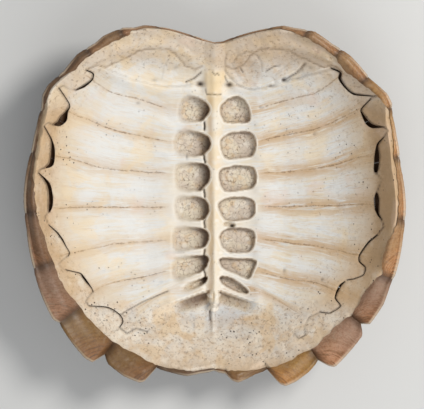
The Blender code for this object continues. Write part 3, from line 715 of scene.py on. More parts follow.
def face_outward(work: bmesh.types.BMesh) -> None:
    """Turns the faces of a closed mesh to the outside."""
    bmesh.ops.recalc_face_normals(work, faces=work.faces)
    if work.calc_volume(signed=True) < 0:
        bmesh.ops.reverse_faces(work, faces=work.faces)


def between(name: str, outer: Array, inner: Array) -> bpy.types.Object:
    """A closed plate between two sheets of points.

    Args:
        name: The object's name.
        outer: Points of the outer sheet by row and column.
        inner: Points of the inner one.

    Returns:
        The linked object, with the outer sheet's vertices first.
    """
    rows, columns = outer.shape[:2]
    work = bmesh.new()
    for grid in (outer, inner):
        before = len(work.verts)
        bmesh.ops.create_grid(work, x_segments=columns - 1, y_segments=rows - 1, size=1.0)
        work.verts.ensure_lookup_table()
        moved(list(work.verts)[before:], grid.reshape(-1, 3))
    bmesh.ops.bridge_loops(work, edges=[e for e in work.edges if e.is_boundary])
    face_outward(work)
    return new_object(name, work, sharp=60)


def both(outer: Array, inner: float | None = None) -> Array:
    """Values of both sheets of a plate: the outer one's, then the same again or one number."""
    flat = outer.ravel()
    return np.concatenate((flat, flat if inner is None else np.full(flat.size, inner)))


def settle(made: bpy.types.Object, node: str, finish: bpy.types.Material) -> bpy.types.Object:
    """Gives a piece its finish, hangs it under the root body and hides the CAD node it replaces.

    Args:
        made: The piece.
        node: The CAD node it replaces.
        finish: The material.

    Returns:
        The piece.
    """
    made.data.materials.clear()
    made.data.materials.append(finish)
    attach(made, "root")
    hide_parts(node)
    return made


def add_values(made: bpy.types.Object, **masks: Array) -> None:
    """Stores named rows of one number for each vertex, for the finish to read."""
    for name, values in masks.items():
        layer = made.data.attributes.new(name, "FLOAT", "POINT")
        layer.data.foreach_set("value", values.astype(np.float32))


def points_of(made: bpy.types.Object) -> Array:
    """The vertices of an object, as rows of x, y and z."""
    flat = np.empty(len(made.data.vertices) * 3, np.float32)
    made.data.vertices.foreach_get("co", flat)
    return flat.reshape(-1, 3).astype(float)


class Wire:
    """One output of a shader graph. Arithmetic on it adds Math nodes."""

    def __init__(self, graph: Graph, socket: bpy.types.NodeSocket) -> None:
        """Keeps the graph it belongs to and its socket."""
        self.graph = graph
        self.socket = socket

    def _math(self, operation: str, *values: Wire | float) -> Wire:
        """A Math node of these values."""
        return self.graph.node("ShaderNodeMath", {"operation": operation}, dict(enumerate(values)))

    def __add__(self, other: Wire | float) -> Wire:
        """self + other."""
        return self._math("ADD", self, other)

    def __radd__(self, other: float) -> Wire:
        """other + self."""
        return self._math("ADD", other, self)

    def __sub__(self, other: Wire | float) -> Wire:
        """self - other."""
        return self._math("SUBTRACT", self, other)

    def __rsub__(self, other: float) -> Wire:
        """other - self."""
        return self._math("SUBTRACT", other, self)

    def __mul__(self, other: Wire | float) -> Wire:
        """self * other."""
        return self._math("MULTIPLY", self, other)

    def __rmul__(self, other: float) -> Wire:
        """other * self."""
        return self._math("MULTIPLY", other, self)

    def most(self, other: Wire | float) -> Wire:
        """The larger of the two."""
        return self._math("MAXIMUM", self, other)

    def far(self) -> Wire:
        """The value without its sign."""
        return self._math("ABSOLUTE", self)

    def rest(self) -> Wire:
        """What is left of the value over the last whole number."""
        return self._math("FRACT", self)

    def ramp(self, low: float, high: float, start: float = 0.0, end: float = 1.0) -> Wire:
        """A smooth step from start at low to end at high.

        Args:
            low: Value at which the step begins.
            high: Value at which it ends.
            start: What it gives at low.
            end: What it gives at high.

        Returns:
            The stepped value.
        """
        settings = {"interpolation_type": "SMOOTHSTEP"}
        values = {0: self, 1: low, 2: high, 3: start, 4: end}
        return self.graph.node("ShaderNodeMapRange", settings, values)


class Graph:
    """The node tree of one material, with short ways to add what the finishes need."""

    def __init__(self, name: str) -> None:
        """Starts a material with its Principled shader alone."""
        self.material = bpy.data.materials.new(name)
        self.material.use_nodes = True
        self.tree = self.material.node_tree
        self.shader = self.tree.nodes["Principled BSDF"]

    def node(
        self, kind: str, settings: dict | None = None, values: dict | None = None, output: int | str = 0
    ) -> Wire:
        """Adds a node.

        Args:
            kind: Its type.
            settings: Properties, set first.
            values: Numbers, colours or wires for its inputs, by number or name.
            output: Which output to hand back.

        Returns:
            The wire of that output.
        """
        made = self.tree.nodes.new(kind)
        for key, value in (settings or {}).items():
            setattr(made, key, value)
        for key, value in (values or {}).items():
            self.feed(made.inputs[key], value)
        return Wire(self, made.outputs[output])

    def feed(self, socket: bpy.types.NodeSocket, value: Wire | float | tuple) -> None:
        """Links a wire to a socket, or sets the socket's own value."""
        if isinstance(value, Wire):
            self.tree.links.new(value.socket, socket)
        else:
            socket.default_value = value

    def finish(self, **values: Wire | float | tuple) -> bpy.types.Material:
        """Feeds the shader's sockets, named with _ for a space, and hands back the material."""
        for key, value in values.items():
            self.feed(self.shader.inputs[key.replace("_", " ")], value)
        return self.material

    def place(self) -> Wire:
        """The point on the surface, in the object's own metres."""
        return self.node("ShaderNodeTexCoord", output="Object")

    def stored(self, names: str) -> list[Wire]:
        """Numbers stored on the mesh, by their names with spaces between."""
        return [self.node("ShaderNodeAttribute", {"attribute_name": n}, output="Fac") for n in names.split()]

    def vector(self, x: Wire | float, y: Wire | float, z: Wire | float = 0.0) -> Wire:
        """Three numbers as one vector."""
        return self.node("ShaderNodeCombineXYZ", values={0: x, 1: y, 2: z})

    def noise(self, at: Wire, scale: float, detail: float = 3, rough: float = 0.5, twist: float = 0) -> Wire:
        """Cloudy noise, mostly between 0.3 and 0.7."""
        values = {"Vector": at, "Scale": scale, "Detail": detail, "Roughness": rough, "Distortion": twist}
        return self.node("ShaderNodeTexNoise", values=values)

    def dots(self, at: Wire, scale: float) -> Wire:
        """Distance from the nearest of scattered points."""
        return self.node("ShaderNodeTexVoronoi", values={"Vector": at, "Scale": scale})

    def mix(self, share: Wire | float, first: Wire | tuple, second: Wire | tuple) -> Wire:
        """Two colours mixed by a share, 0 for the first and 1 for the second."""
        settings = {"data_type": "RGBA", "clamp_factor": True}
        return self.node("ShaderNodeMix", settings, {0: share, 6: first, 7: second}, output=2)

    def coats(self, base: Wire | tuple, *coats: tuple[Wire | float, Wire | tuple]) -> Wire:
        """Colours laid one over another.

        Args:
            base: The colour underneath.
            coats: Shares and colours, in order.

        Returns:
            The colour of all of them.
        """
        for share, colour in coats:
            base = self.mix(share, base, colour)
        return base

    def warp(self, at: Wire, scale: float, amount: float) -> Wire:
        """A place shifted by a small amount that wanders."""
        values = {"Vector": at, "Scale": scale, "Detail": 2.0}
        cloud = self.node("ShaderNodeTexNoise", values=values, output="Color")
        around = self.node("ShaderNodeVectorMath", {"operation": "SUBTRACT"}, {0: cloud, 1: (0.5, 0.5, 0.5)})
        away = self.node("ShaderNodeVectorMath", {"operation": "SCALE"}, {0: around, "Scale": amount})
        return self.node("ShaderNodeVectorMath", {"operation": "ADD"}, {0: at, 1: away})

    def raised(self, height: Wire, depth: float, strength: float) -> Wire:
        """A normal bent by a height."""
        values = {"Strength": strength, "Distance": depth, "Height": height}
        return self.node("ShaderNodeBump", values=values)


def paint(red: int, green: int, blue: int) -> Colour:
    """A colour of 0 to 255 steps, as the light it sends back."""
    linear = [((c / 255 + 0.055) / 1.055) ** 2.4 if c > 10 else c / 255 / 12.92 for c in (red, green, blue)]
    return (*linear, 1.0)


@dataclass(frozen=True)
class BoneFinish:
    """Old dry bone: ivory with grey and tan streaks along the ribs, pores and speckled hollows, with painted
    shade in the hollows, in recesses and on the right inner wall, and painted highlights on crests.
    """

    ivory: Colour = paint(232, 224, 211)
    cream: Colour = paint(226, 214, 192)
    chalk: Colour = paint(228, 228, 225)
    slate: Colour = paint(196, 199, 201)
    butter: Colour = paint(240, 218, 180)
    bright: Colour = paint(242, 234, 220)
    dun: Colour = paint(212, 197, 180)
    ochre: Colour = paint(218, 186, 142)
    tan: Colour = paint(200, 166, 126)
    umber: Colour = paint(116, 86, 60)
    # Dark brown of pores and cracks, also used for painted shade in hollows and recesses.
    pore_and_shade: Colour = paint(62, 44, 32)
    blush: Colour = paint(226, 198, 178)
    wax: Colour = paint(236, 206, 152)

    def build(self) -> bpy.types.Material:
        """Makes the material. It reads the masks stored on the bony shell."""
        g = Graph("old_bone")
        at = g.place()
        phase, along, rimward, hollow, shade, side = g.stored("phase along rimward hollow shade leftness")
        seam, column, crack, pit, crest = g.stored("seam column crack pit crest")
        front, lobes, vertebra, zone = g.stored("front lobes vertebra zone")
        spread, basin, flute = g.stored("spread basin flute")
        streak = g.noise(g.vector(phase * 6.5, along * 0.018, side * 7.0), 1.6, 5, 0.65, 0.6)
        thin = g.noise(g.vector(phase * 30.0, along * 0.03, side * 3.0), 1.5, 4, 0.7)
        striae = g.noise(g.vector(phase * 26.0, along * 0.05, side * 3.0), 1.5, 4, 0.7)
        stain = g.noise(g.vector(phase * 15.0, along * 0.05, side * 9.0), 1.4, 5, 0.7, 0.8)
        cloud, patch = g.noise(at, 18, 4, 0.6), g.noise(at, 46, 4, 0.6, 0.5)
        pale = g.noise(at, 27, 3, 0.55, 0.6)
        fine, speck = g.noise(at, 260, 3, 0.6), g.noise(at, 380, 5, 0.75, 0.3)
        outer = rimward.ramp(0.2, 0.36) * (1 - column)
        behind, proud = 1 - front, 1 - hollow
        off = (phase.rest() - 0.5).far()
        middle = 1 - (off * 2).ramp(0.3, 0.95)
        chalky = (0.35 + 0.65 * middle) * streak.ramp(0.4, 0.6) * outer * rimward.ramp(0.8, 0.96, 1, 0)
        slate = streak.ramp(0.54, 0.7) * patch.ramp(0.46, 0.62) * outer * rimward.ramp(0.84, 0.98, 1, 0)
        tanned = thin.ramp(0.54, 0.72) * 0.45 + (1 - middle) * streak.ramp(0.48, 0.66, 1, 0) * 0.5
        joint = (0.5 - off) * spread + (g.noise(at, 330, 3, 0.6) - 0.5) * 3.6
        stitch = joint.far().ramp(0.15, 0.65, 1, 0) * zone * patch.ramp(0.34, 0.52, 0.35, 1)
        ripe = rimward.ramp(0.88, 0.99) * g.noise(at, 60, 4, 0.65).ramp(0.3, 0.56)
        gritty = rimward.ramp(0.88, 1.0).most(rimward.ramp(0.62, 0.9) * (1 - side) * 0.7)
        length = g.node("ShaderNodeSeparateXYZ", values={"Vector": at}, output=1)
        flank = length.ramp(-0.08, -0.01) * behind
        # Painted shade on the right inner wall, mixed with the wall's own browner stain.
        shaded = rimward.ramp(0.95, 1.03) * rimward.ramp(1.18, 1.08) * (1 - side) * flank
        scaly = g.noise(at, 95, 5, 0.72).ramp(0.45, 0.6) * rimward.ramp(0.95, 1.0) * flank
        dash = thin.ramp(0.6, 0.7) * patch.ramp(0.48, 0.62) * outer * behind
        tail = length.ramp(-0.085, -0.11) * rimward.ramp(1.25, 1.05)
        colour = g.coats(
            g.mix(cloud.ramp(0.38, 0.66), self.ivory, self.cream),
            (chalky * 0.9, self.chalk),
            (slate * 0.75, self.slate),
            (pale.ramp(0.5, 0.62) * outer * rimward.ramp(0.8, 0.95, 1, 0) * 0.7, self.chalk),
            (pale.ramp(0.46, 0.36) * outer * 0.45, self.butter),
            (tanned * (1.5 - 0.8 * side) * outer * (1 - 0.85 * front), self.tan),
            (front * patch.ramp(0.42, 0.58) * 0.75, self.chalk),
            (front * cloud.ramp(0.46, 0.36) * 0.6, self.butter),
            (front * striae.ramp(0.5, 0.68) * 0.3, self.tan),
            (front * rimward.ramp(0.95, 1.02) * (0.1 + 0.35 * patch), self.ochre),
            (front * column * 0.6, self.bright),
            (basin * (0.25 + 0.5 * striae.ramp(0.4, 0.6)), self.dun),
            (basin * g.noise(at, 90, 5, 0.7).ramp(0.46, 0.6) * 0.5, self.tan),
            (seam * (0.2 + 0.4 * patch), self.tan),
            (stitch * 0.62, self.umber),
            (ripe * (0.5 + 0.2 * rimward.ramp(0.97, 1.02)) * (1 - 0.6 * front), self.tan),
            (g.noise(at, 300, 4, 0.7).ramp(0.54, 0.66) * gritty * 0.5, self.umber),
            (shaded * (0.5 + 0.3 * patch), self.umber),
            (scaly * (0.55 - 0.2 * side), self.umber),
            (rimward.ramp(0.96, 1.02) * flank * (0.6 + 0.4 * patch) * 0.6, self.tan),
            (rimward.ramp(0.86, 1.0) * (1 - side) * 0.25, self.tan),
            (g.noise(at, 34, 2).ramp(0.6, 0.72) * 0.35, self.blush),
            (stain.ramp(0.54, 0.68) * outer * behind * (0.42 - 0.2 * side), self.tan),
            (dash * (0.4 - 0.25 * side), self.umber),
            (rimward.ramp(0.74, 0.9) * behind * 0.22, self.ochre),
            (tail * (0.15 + 0.4 * rimward.ramp(0.8, 0.98)), self.bright),
            (tail * pale.ramp(0.47, 0.58) * rimward.ramp(1.02, 0.7) * 0.8, self.slate),
            (tail * pale.ramp(0.47, 0.38) * 0.5, self.ochre),
            (tail * patch.ramp(0.5, 0.62) * 0.25, self.slate),
            (tail * g.noise(at, 120, 4, 0.7).ramp(0.48, 0.62) * 0.32, self.tan),
            (tail * g.noise(at, 340, 4, 0.75).ramp(0.52, 0.64) * 0.5, self.umber),
        )
        cells = {"Vector": g.warp(at, 90, 0.012), "Scale": 190}
        web = g.node("ShaderNodeTexVoronoi", {"feature": "DISTANCE_TO_EDGE"}, cells).ramp(0.0, 0.06, 1, 0)
        floors = g.coats(
            g.mix(patch.ramp(0.4, 0.62), self.cream, self.dun),
            (g.noise(at, 120, 3, 0.6).ramp(0.5, 0.66) * 0.5, self.ochre),
            (g.noise(at, 75, 2).ramp(0.56, 0.64) * 0.6, self.ivory),
            (web * speck.ramp(0.42, 0.56) * 0.65, self.umber),
            (speck.ramp(0.56, 0.66) * 0.65, self.umber),
            (shade * 0.82, self.umber),
            (shade.ramp(0.6, 1.0) * 0.4, self.pore_and_shade),
        )
        hole = g.dots(at, 210).ramp(0.1, 0.2, 1, 0) * g.noise(at, 45, 2).ramp(0.5, 0.6)
        holes = (0.3 + rimward.ramp(0.65, 0.92)) * 0.8 * proud * (1 - 0.85 * front)
        colour = g.coats(
            colour,
            (hollow.most(shade.ramp(0.0, 0.3)), floors),
            (column * 0.8 * proud, g.mix(patch.ramp(0.4, 0.66), self.butter, self.bright)),
            # Painted shade down the left side of the column.
            (flute * 0.5 * proud, self.tan),
            (vertebra * (0.3 + 0.3 * patch), self.wax),
            (lobes.ramp(0.25, 0.6) * 0.9, self.bright),
            (hole * holes, self.pore_and_shade),
            # Painted shade in recesses, darker in the deeper ones.
            (pit.ramp(0.15, 1.4) * (0.1 + 0.4 * speck) * (1 - 0.4 * hollow), self.umber),
            (pit.ramp(1.3, 2.6) * 0.3, self.pore_and_shade),
            # Painted highlight on crests.
            (crest.ramp(0.15, 1.0) * 0.75 * proud, self.bright),
            (crack * 0.9, self.pore_and_shade),
        )
        grain = 0.5 * fine + 0.45 * thin * outer + 0.9 * speck * hollow - 0.9 * hole - 0.5 * web * hollow
        coarse = rimward.ramp(0.8, 1.0) * g.noise(at, 150, 5, 0.7)
        normal = g.raised(grain + 0.8 * coarse, 0.6 * MM, 0.85)
        return g.finish(Base_Color=colour, Roughness=cloud.ramp(0.3, 0.7, 0.52, 0.72), Normal=normal)


class HornKind(Enum):
    """Where a horn scute lies, which decides its tone."""

    RIM = "rim"
    DOME = "dome"


@dataclass(frozen=True)
class HornFinish:
    """Horn of the scutes: amber to dark brown, with growth lines and a pale line along the fold of the rim.
    """

    kind: HornKind
    amber: Colour = paint(186, 132, 66)
    honey: Colour = paint(196, 150, 86)
    orange: Colour = paint(200, 128, 70)
    olive: Colour = paint(158, 122, 62)
    rose: Colour = paint(172, 136, 116)
    brown: Colour = paint(124, 84, 48)
    dark: Colour = paint(64, 43, 27)
    pale: Colour = paint(218, 202, 176)
    dust: Colour = paint(168, 150, 126)

    def build(self) -> bpy.types.Material:
        """Makes the material. It reads the growth and edge numbers stored on each scute."""
        g = Graph(f"horn_{self.kind.value}")
        at = g.place()
        growth, edge, tone, ray, seamward, tint, tip = g.stored("growth edge tone ray seamward tint tip")
        cloud, patch = g.noise(at, 26, 4, 0.6), g.noise(at, 60, 4, 0.65, 0.4)
        grains = g.noise(at, 420, 4, 0.75)
        rings = g.noise(g.vector(growth, ray * 0.15), 3.0, 5, 0.75, 0.3)
        rays = g.noise(g.vector(ray, growth * 0.1), 6.0, 3, 0.6)
        if self.kind is HornKind.DOME:
            colour = g.mix(cloud.ramp(0.36, 0.6), self.brown, self.dark)
            colour = g.mix(rings.ramp(0.46, 0.6) * 0.55, colour, self.dark)
        else:
            colour = g.coats(
                g.mix(patch.ramp(0.4, 0.62), self.amber, self.honey),
                ((1 - tip) * 0.5, self.olive),
                (tint * (0.75 + 0.25 * cloud), self.rose),
                (cloud.ramp(0.5, 0.66) * 0.35, self.brown),
                (tip * 0.5, self.orange),
                (rings.ramp(0.48, 0.58) * (0.2 + 0.7 * tip), self.brown),
                (grains.ramp(0.5, 0.62) * 0.45, self.brown),
                (grains.ramp(0.48, 0.38) * 0.22, self.dust),
            )
        colour = g.coats(
            colour,
            (rays.ramp(0.5, 0.7) * 0.2, self.dark),
            # Each scute's darkness, with painted shade on the left rim scutes and on the rim's outer face.
            (tone, self.dark),
            (g.noise(at, 110, 4, 0.7).ramp(0.54, 0.7) * 0.25, self.dust),
            (seamward * 0.7, self.dark),
            (edge.ramp(0.3, 1.0) * (0.15 + 0.45 * tip), self.pale),
        )
        normal = g.raised(rings * (0.4 + 0.6 * tip) + rays * 0.3 + grains * 0.5, 0.5 * MM, 0.8)
        return g.finish(Base_Color=colour, Roughness=cloud.ramp(0.3, 0.7, 0.36, 0.58), Normal=normal)


@dataclass(frozen=True)
class FloorFinish:
    """Plain pale floor."""

    colour: Colour = paint(214, 213, 210)
    lighter: Colour = paint(220, 219, 216)
    roughness: float = 0.85

    def build(self) -> bpy.types.Material:
        """Makes the material."""
        g = Graph("pale_floor")
        colour = g.mix(g.noise(g.place(), 3, 2), self.colour, self.lighter)
        return g.finish(Base_Color=colour, Roughness=self.roughness)


@dataclass
class BonyShell:
    """The bony bowl with its ribs and column, one grown-together piece."""

    plan: Plan
    anatomy: Anatomy
    cells: int = 286
    middle_share: float = 0.72
    even_share: float = 0.8
    inner_share: float = 0.992
    outer_rows: tuple[float, ...] = (0.97, 0.92, 0.84, 0.7, 0.5, 0.3, 0.14)
    cut_top: float = 150 * MM
    sharp: float = 62
    relief: Relief = field(init=False)

    def __post_init__(self) -> None:
        """Prepares the relief that the mesh and its masks are read from."""
        self.relief = Relief(self.plan, self.anatomy)

    def disc(self, u: Array, v: Array) -> tuple[Array, Array]:
        """Turns a square of shares from -1 to 1 into angles and shares of the reach.

        Args:
            u: Share across.
            v: Share along.

        Returns:
            Angle in degrees from the head end, and radius from 0 to 1.
        """
        dense = self.middle_share
        u, v = u * (dense + (1 - dense) * np.abs(u)), v * (dense + (1 - dense) * np.abs(v))
        x, y = u * np.sqrt(1 - v * v / 2), v * np.sqrt(1 - u * u / 2)
        return polar(x, y)

    def inner_face(self, work: bmesh.types.BMesh) -> Array:
        """Adds the inner face as a grid bent over the relief.

        Args:
            work: The mesh to add to.

        Returns:
            The angle of each vertex.
        """
        plan = self.plan
        bmesh.ops.create_grid(work, x_segments=self.cells, y_segments=self.cells, size=1.0)
        work.verts.ensure_lookup_table()
        flat = np.array([v.co[:2] for v in work.verts])
        angle, share = self.disc(flat[:, 0], flat[:, 1])
        even = plan.around(plan.dome_reach, angle) - 2
        ragged = ease((share - self.even_share) / (1 - self.even_share))
        x, y = spot(angle, share * (even + (plan.bone_reach(angle) - even) * ragged) * self.inner_share)
        moved(list(work.verts), plan.placed(x, y, self.relief.height(x, y)))
        return angle

    def close(self, work: bmesh.types.BMesh, angle: Array) -> None:
        """Extrudes the open edge round the rim and under the shell until it is closed.

        Args:
            work: The mesh with its inner face.
            angle: The angle of each of its vertices.
        """
        plan = self.plan
        work.verts.ensure_lookup_table()
        ring = [e for e in work.edges if e.is_boundary]
        angles = {v: angle[v.index] for e in ring for v in e.verts}
        for share in (1.0, *self.outer_rows):
            made = bmesh.ops.extrude_edge_only(work, edges=ring)
            ring = [g for g in made["geom"] if isinstance(g, bmesh.types.BMEdge)]
            fresh = {v for e in ring for v in e.verts}
            before = {}
            for v in fresh:
                for e in v.link_edges:
                    other = e.other_vert(v)
                    if other in angles and other not in fresh:
                        before[v] = angles[other]
            angles = before
            around = np.array(list(before.values()))
            dome = plan.around(plan.dome_reach, around)
            seam = dome * plan.scute_row
            outward = (share - plan.scute_row) / (1 - plan.scute_row)
            radius = dome * share if outward <= 0 else seam + (plan.bone_reach(around) - seam) * outward
            x, y = spot(around, radius)
            moved(list(before), plan.placed(x, y, plan.outside(x, y)))
        cap = bmesh.ops.extrude_edge_only(work, edges=ring)
        tip = [g for g in cap["geom"] if isinstance(g, bmesh.types.BMVert)]
        x, y = np.zeros(1), np.full(1, 0.01)
        bmesh.ops.pointmerge(work, verts=tip, merge_co=Vector(plan.placed(x, y, plan.outside(x, y))[0]))
        face_outward(work)

    def opening_cutter(self) -> bpy.types.Object:
        """Upright closed bars with the plan of the openings, to be cut from the bowl."""
        work = bmesh.new()
        for path in self.anatomy.openings:
            fine = self.rounded(path)
            half = len(fine)
            middle = [Vector(p[:2]) for p in fine]
            sides: list[list[Vector]] = [[], []]
            for i, here in enumerate(middle):
                along = (middle[min(i + 1, half - 1)] - middle[max(i - 1, 0)]).normalized()
                across = Vector((-along.y, along.x)) * fine[i][2]
                sides[0].append(here + across)
                sides[1].append(here - across)
            ring = sides[0] + sides[1][::-1]
            x, y = np.array([p.x for p in ring]), np.array([p.y for p in ring])
            level = self.plan.placed(x, y, self.plan.inside(x, y))
            verts = [work.verts.new((p[0], p[1], 0.0)) for p in level]
            faces = []
            for i in range(half - 1):
                faces.append(work.faces.new((verts[i], verts[i + 1], verts[-2 - i], verts[-1 - i])))
            made = bmesh.ops.extrude_face_region(work, geom=faces)
            top = [g for g in made["geom"] if isinstance(g, bmesh.types.BMVert)]
            bmesh.ops.translate(work, verts=top, vec=(0, 0, self.cut_top))
        face_outward(work)
        return new_object("opening_bars", work)

    @staticmethod
    def rounded(path: Path, pieces: int = 5) -> list[Triple]:
        """A path led smoothly through its points.

        Args:
            path: Points of x, y and half width.
            pieces: Steps between two points.

        Returns:
            The finer path.
        """
        points = np.array(path, float)
        ends = np.vstack([2 * points[0] - points[1], points, 2 * points[-1] - points[-2]])
        out = []
        for i in range(1, len(ends) - 2):
            a, b, c, d = ends[i - 1 : i + 3]
            for k in range(pieces):
                t = k / pieces
                bent = (2 * a - 5 * b + 4 * c - d) * t**2 + (3 * b - a - 3 * c + d) * t**3
                out.append(0.5 * (2 * b + (c - a) * t + bent))
        out.append(points[-1])
        return [(float(p[0]), float(p[1]), max(float(p[2]), 0.3)) for p in out]

    def dark_lines(self, x: Array, y: Array) -> Array:
        """How dark the cracks, slits, strokes and small pits are, from 0 to 1, with painted shade on the
        bone under the horn's edge.
        """
        plan, anatomy, relief = self.plan, self.anatomy, self.relief
        angle, radius = polar(x, y)
        tips, gaps = nearest_line(x, y, anatomy.tip_seams), nearest_line(x, y, anatomy.openings)
        rows = [
            0.9 * bump(tips, 0.75) * np.clip(0.6 + 0.6 * lattice(x, y, 9, 47), 0.25, 1),
            0.7 * np.exp(-np.maximum(gaps, 0) / 0.35),
            # Painted shade on the bone under the horn's inner edge.
            0.95 * step(2.0, 3.6, radius - plan.margin(angle)) * step(12, 22, np.abs(angle)),
            0.42 * bump(relief.basin_line(x, y), 0.7),
        ]
        rows += [0.75 * bump(line_distance(x, y, path), 0.7) for path in anatomy.cracks]
        rows += [depth * bump(relief.scored(x, y, path), 0.9) for path, depth in anatomy.strokes]
        rows += [min(deep / 3, 1) * bump(oval(x, y, *place), 1.0) for *place, deep in anatomy.pits]
        slit = relief.slit(x, y, 0.8)
        rows += [0.95 * slit * step(5.2, 3.4, np.abs(y - place)) for place in anatomy.slits]
        return np.max(rows, axis=0)

    def masks(self, made: bpy.types.Object) -> None:
        """Stores on the mesh what its finish reads."""
        plan, anatomy, relief = self.plan, self.anatomy, self.relief
        points = points_of(made)
        x, y = plan.plan_of(points)
        side, (angle, radius) = np.abs(x), polar(x, y)
        gap = plan.gap_reach(angle)
        phase = anatomy.phase(x, y)
        height = relief.height(x, y)
        inner = step(4 * MM, 1 * MM, height - points[:, 2])
        hollow, shade = relief.hollows(x, y)
        # Depth in a recess: painted shade in recesses and painted highlights on crests are drawn from it.
        near = np.clip(relief.cavity(x, y, height, 2.6), -3, 6) * inner
        zone = step(44, 54, side) * step(6, -4, radius - gap) * within(phase, 0.7, 1.0, 6.9, 7.4)
        teeth = np.abs(phase - np.round(phase)) * anatomy.spread(side) + 0.9 * lattice(x, y, 3.0, 8)
        column = bump(x - 0.3, 8.5) * within(y, -98, -92, 128, 138)
        # Painted shade down the left side of the column.
        flute = bump(x + 3.8 + 0.8 * lattice(y, x * 0, 7, 46), 2.6) * within(y, -96, -90, 106, 114)
        wing = np.abs(x - 0.5) + 1.6 * lattice(x, y, 5, 44) - 3.0 * step(116, 130, y)
        basins = [most * ease(start - oval(x, y, *place)) for *place, start, most in anatomy.stains]
        lobes = [relief.tail_lobes(x, y), ease(1.5 - oval(x, y, *anatomy.tail_lump))]
        lobes += [0.75 * bump(oval(x, y, *knob, 2.8, 2.2), 1.0) for knob in anatomy.knobs]
        add_values(
            made,
            phase=phase,
            along=side,
            leftness=step(12, -12, x),
            spread=anatomy.spread(side),
            zone=zone * inner,
            front=step(104, 124, y + 0.1 * side),
            flute=flute * inner,
            vertebra=step(9.0, 5.0, wing) * within(y, 88, 114, 131, 138),
            basin=np.max(basins, axis=0) * inner,
            lobes=np.max(lobes, axis=0) * inner * (1 - 0.8 * hollow),
            rimward=radius / gap,
            hollow=hollow,
            shade=shade * inner,
            seam=np.maximum(bump(teeth, 1.1) * zone, 0.8 * bump(relief.basin_line(x, y), 1.1)),
            column=column * (1 - hollow),
            crack=self.dark_lines(x, y) * inner,
            pit=near / 2.4,
            crest=-near / 1.6,
        )

    def build(self) -> bpy.types.Object:
        """Makes the whole piece."""
        work = bmesh.new()
        self.close(work, self.inner_face(work))
        made = new_object("bone_shell", work)
        bars = self.opening_cutter()
        block = bmesh.new()
        bmesh.ops.create_cube(block, size=1.0)
        room = new_object("cutting_room", block)
        combine(bars, room, "INTERSECT", True)
        combine(made, bars, "DIFFERENCE", False)
        for spent in (bars, room):
            bpy.data.objects.remove(spent)
        made.data.shade_smooth()
        made.data.set_sharp_from_angle(angle=math.radians(self.sharp))
        self.masks(made)
        return settle(made, "bone_carapace", BoneFinish().build())


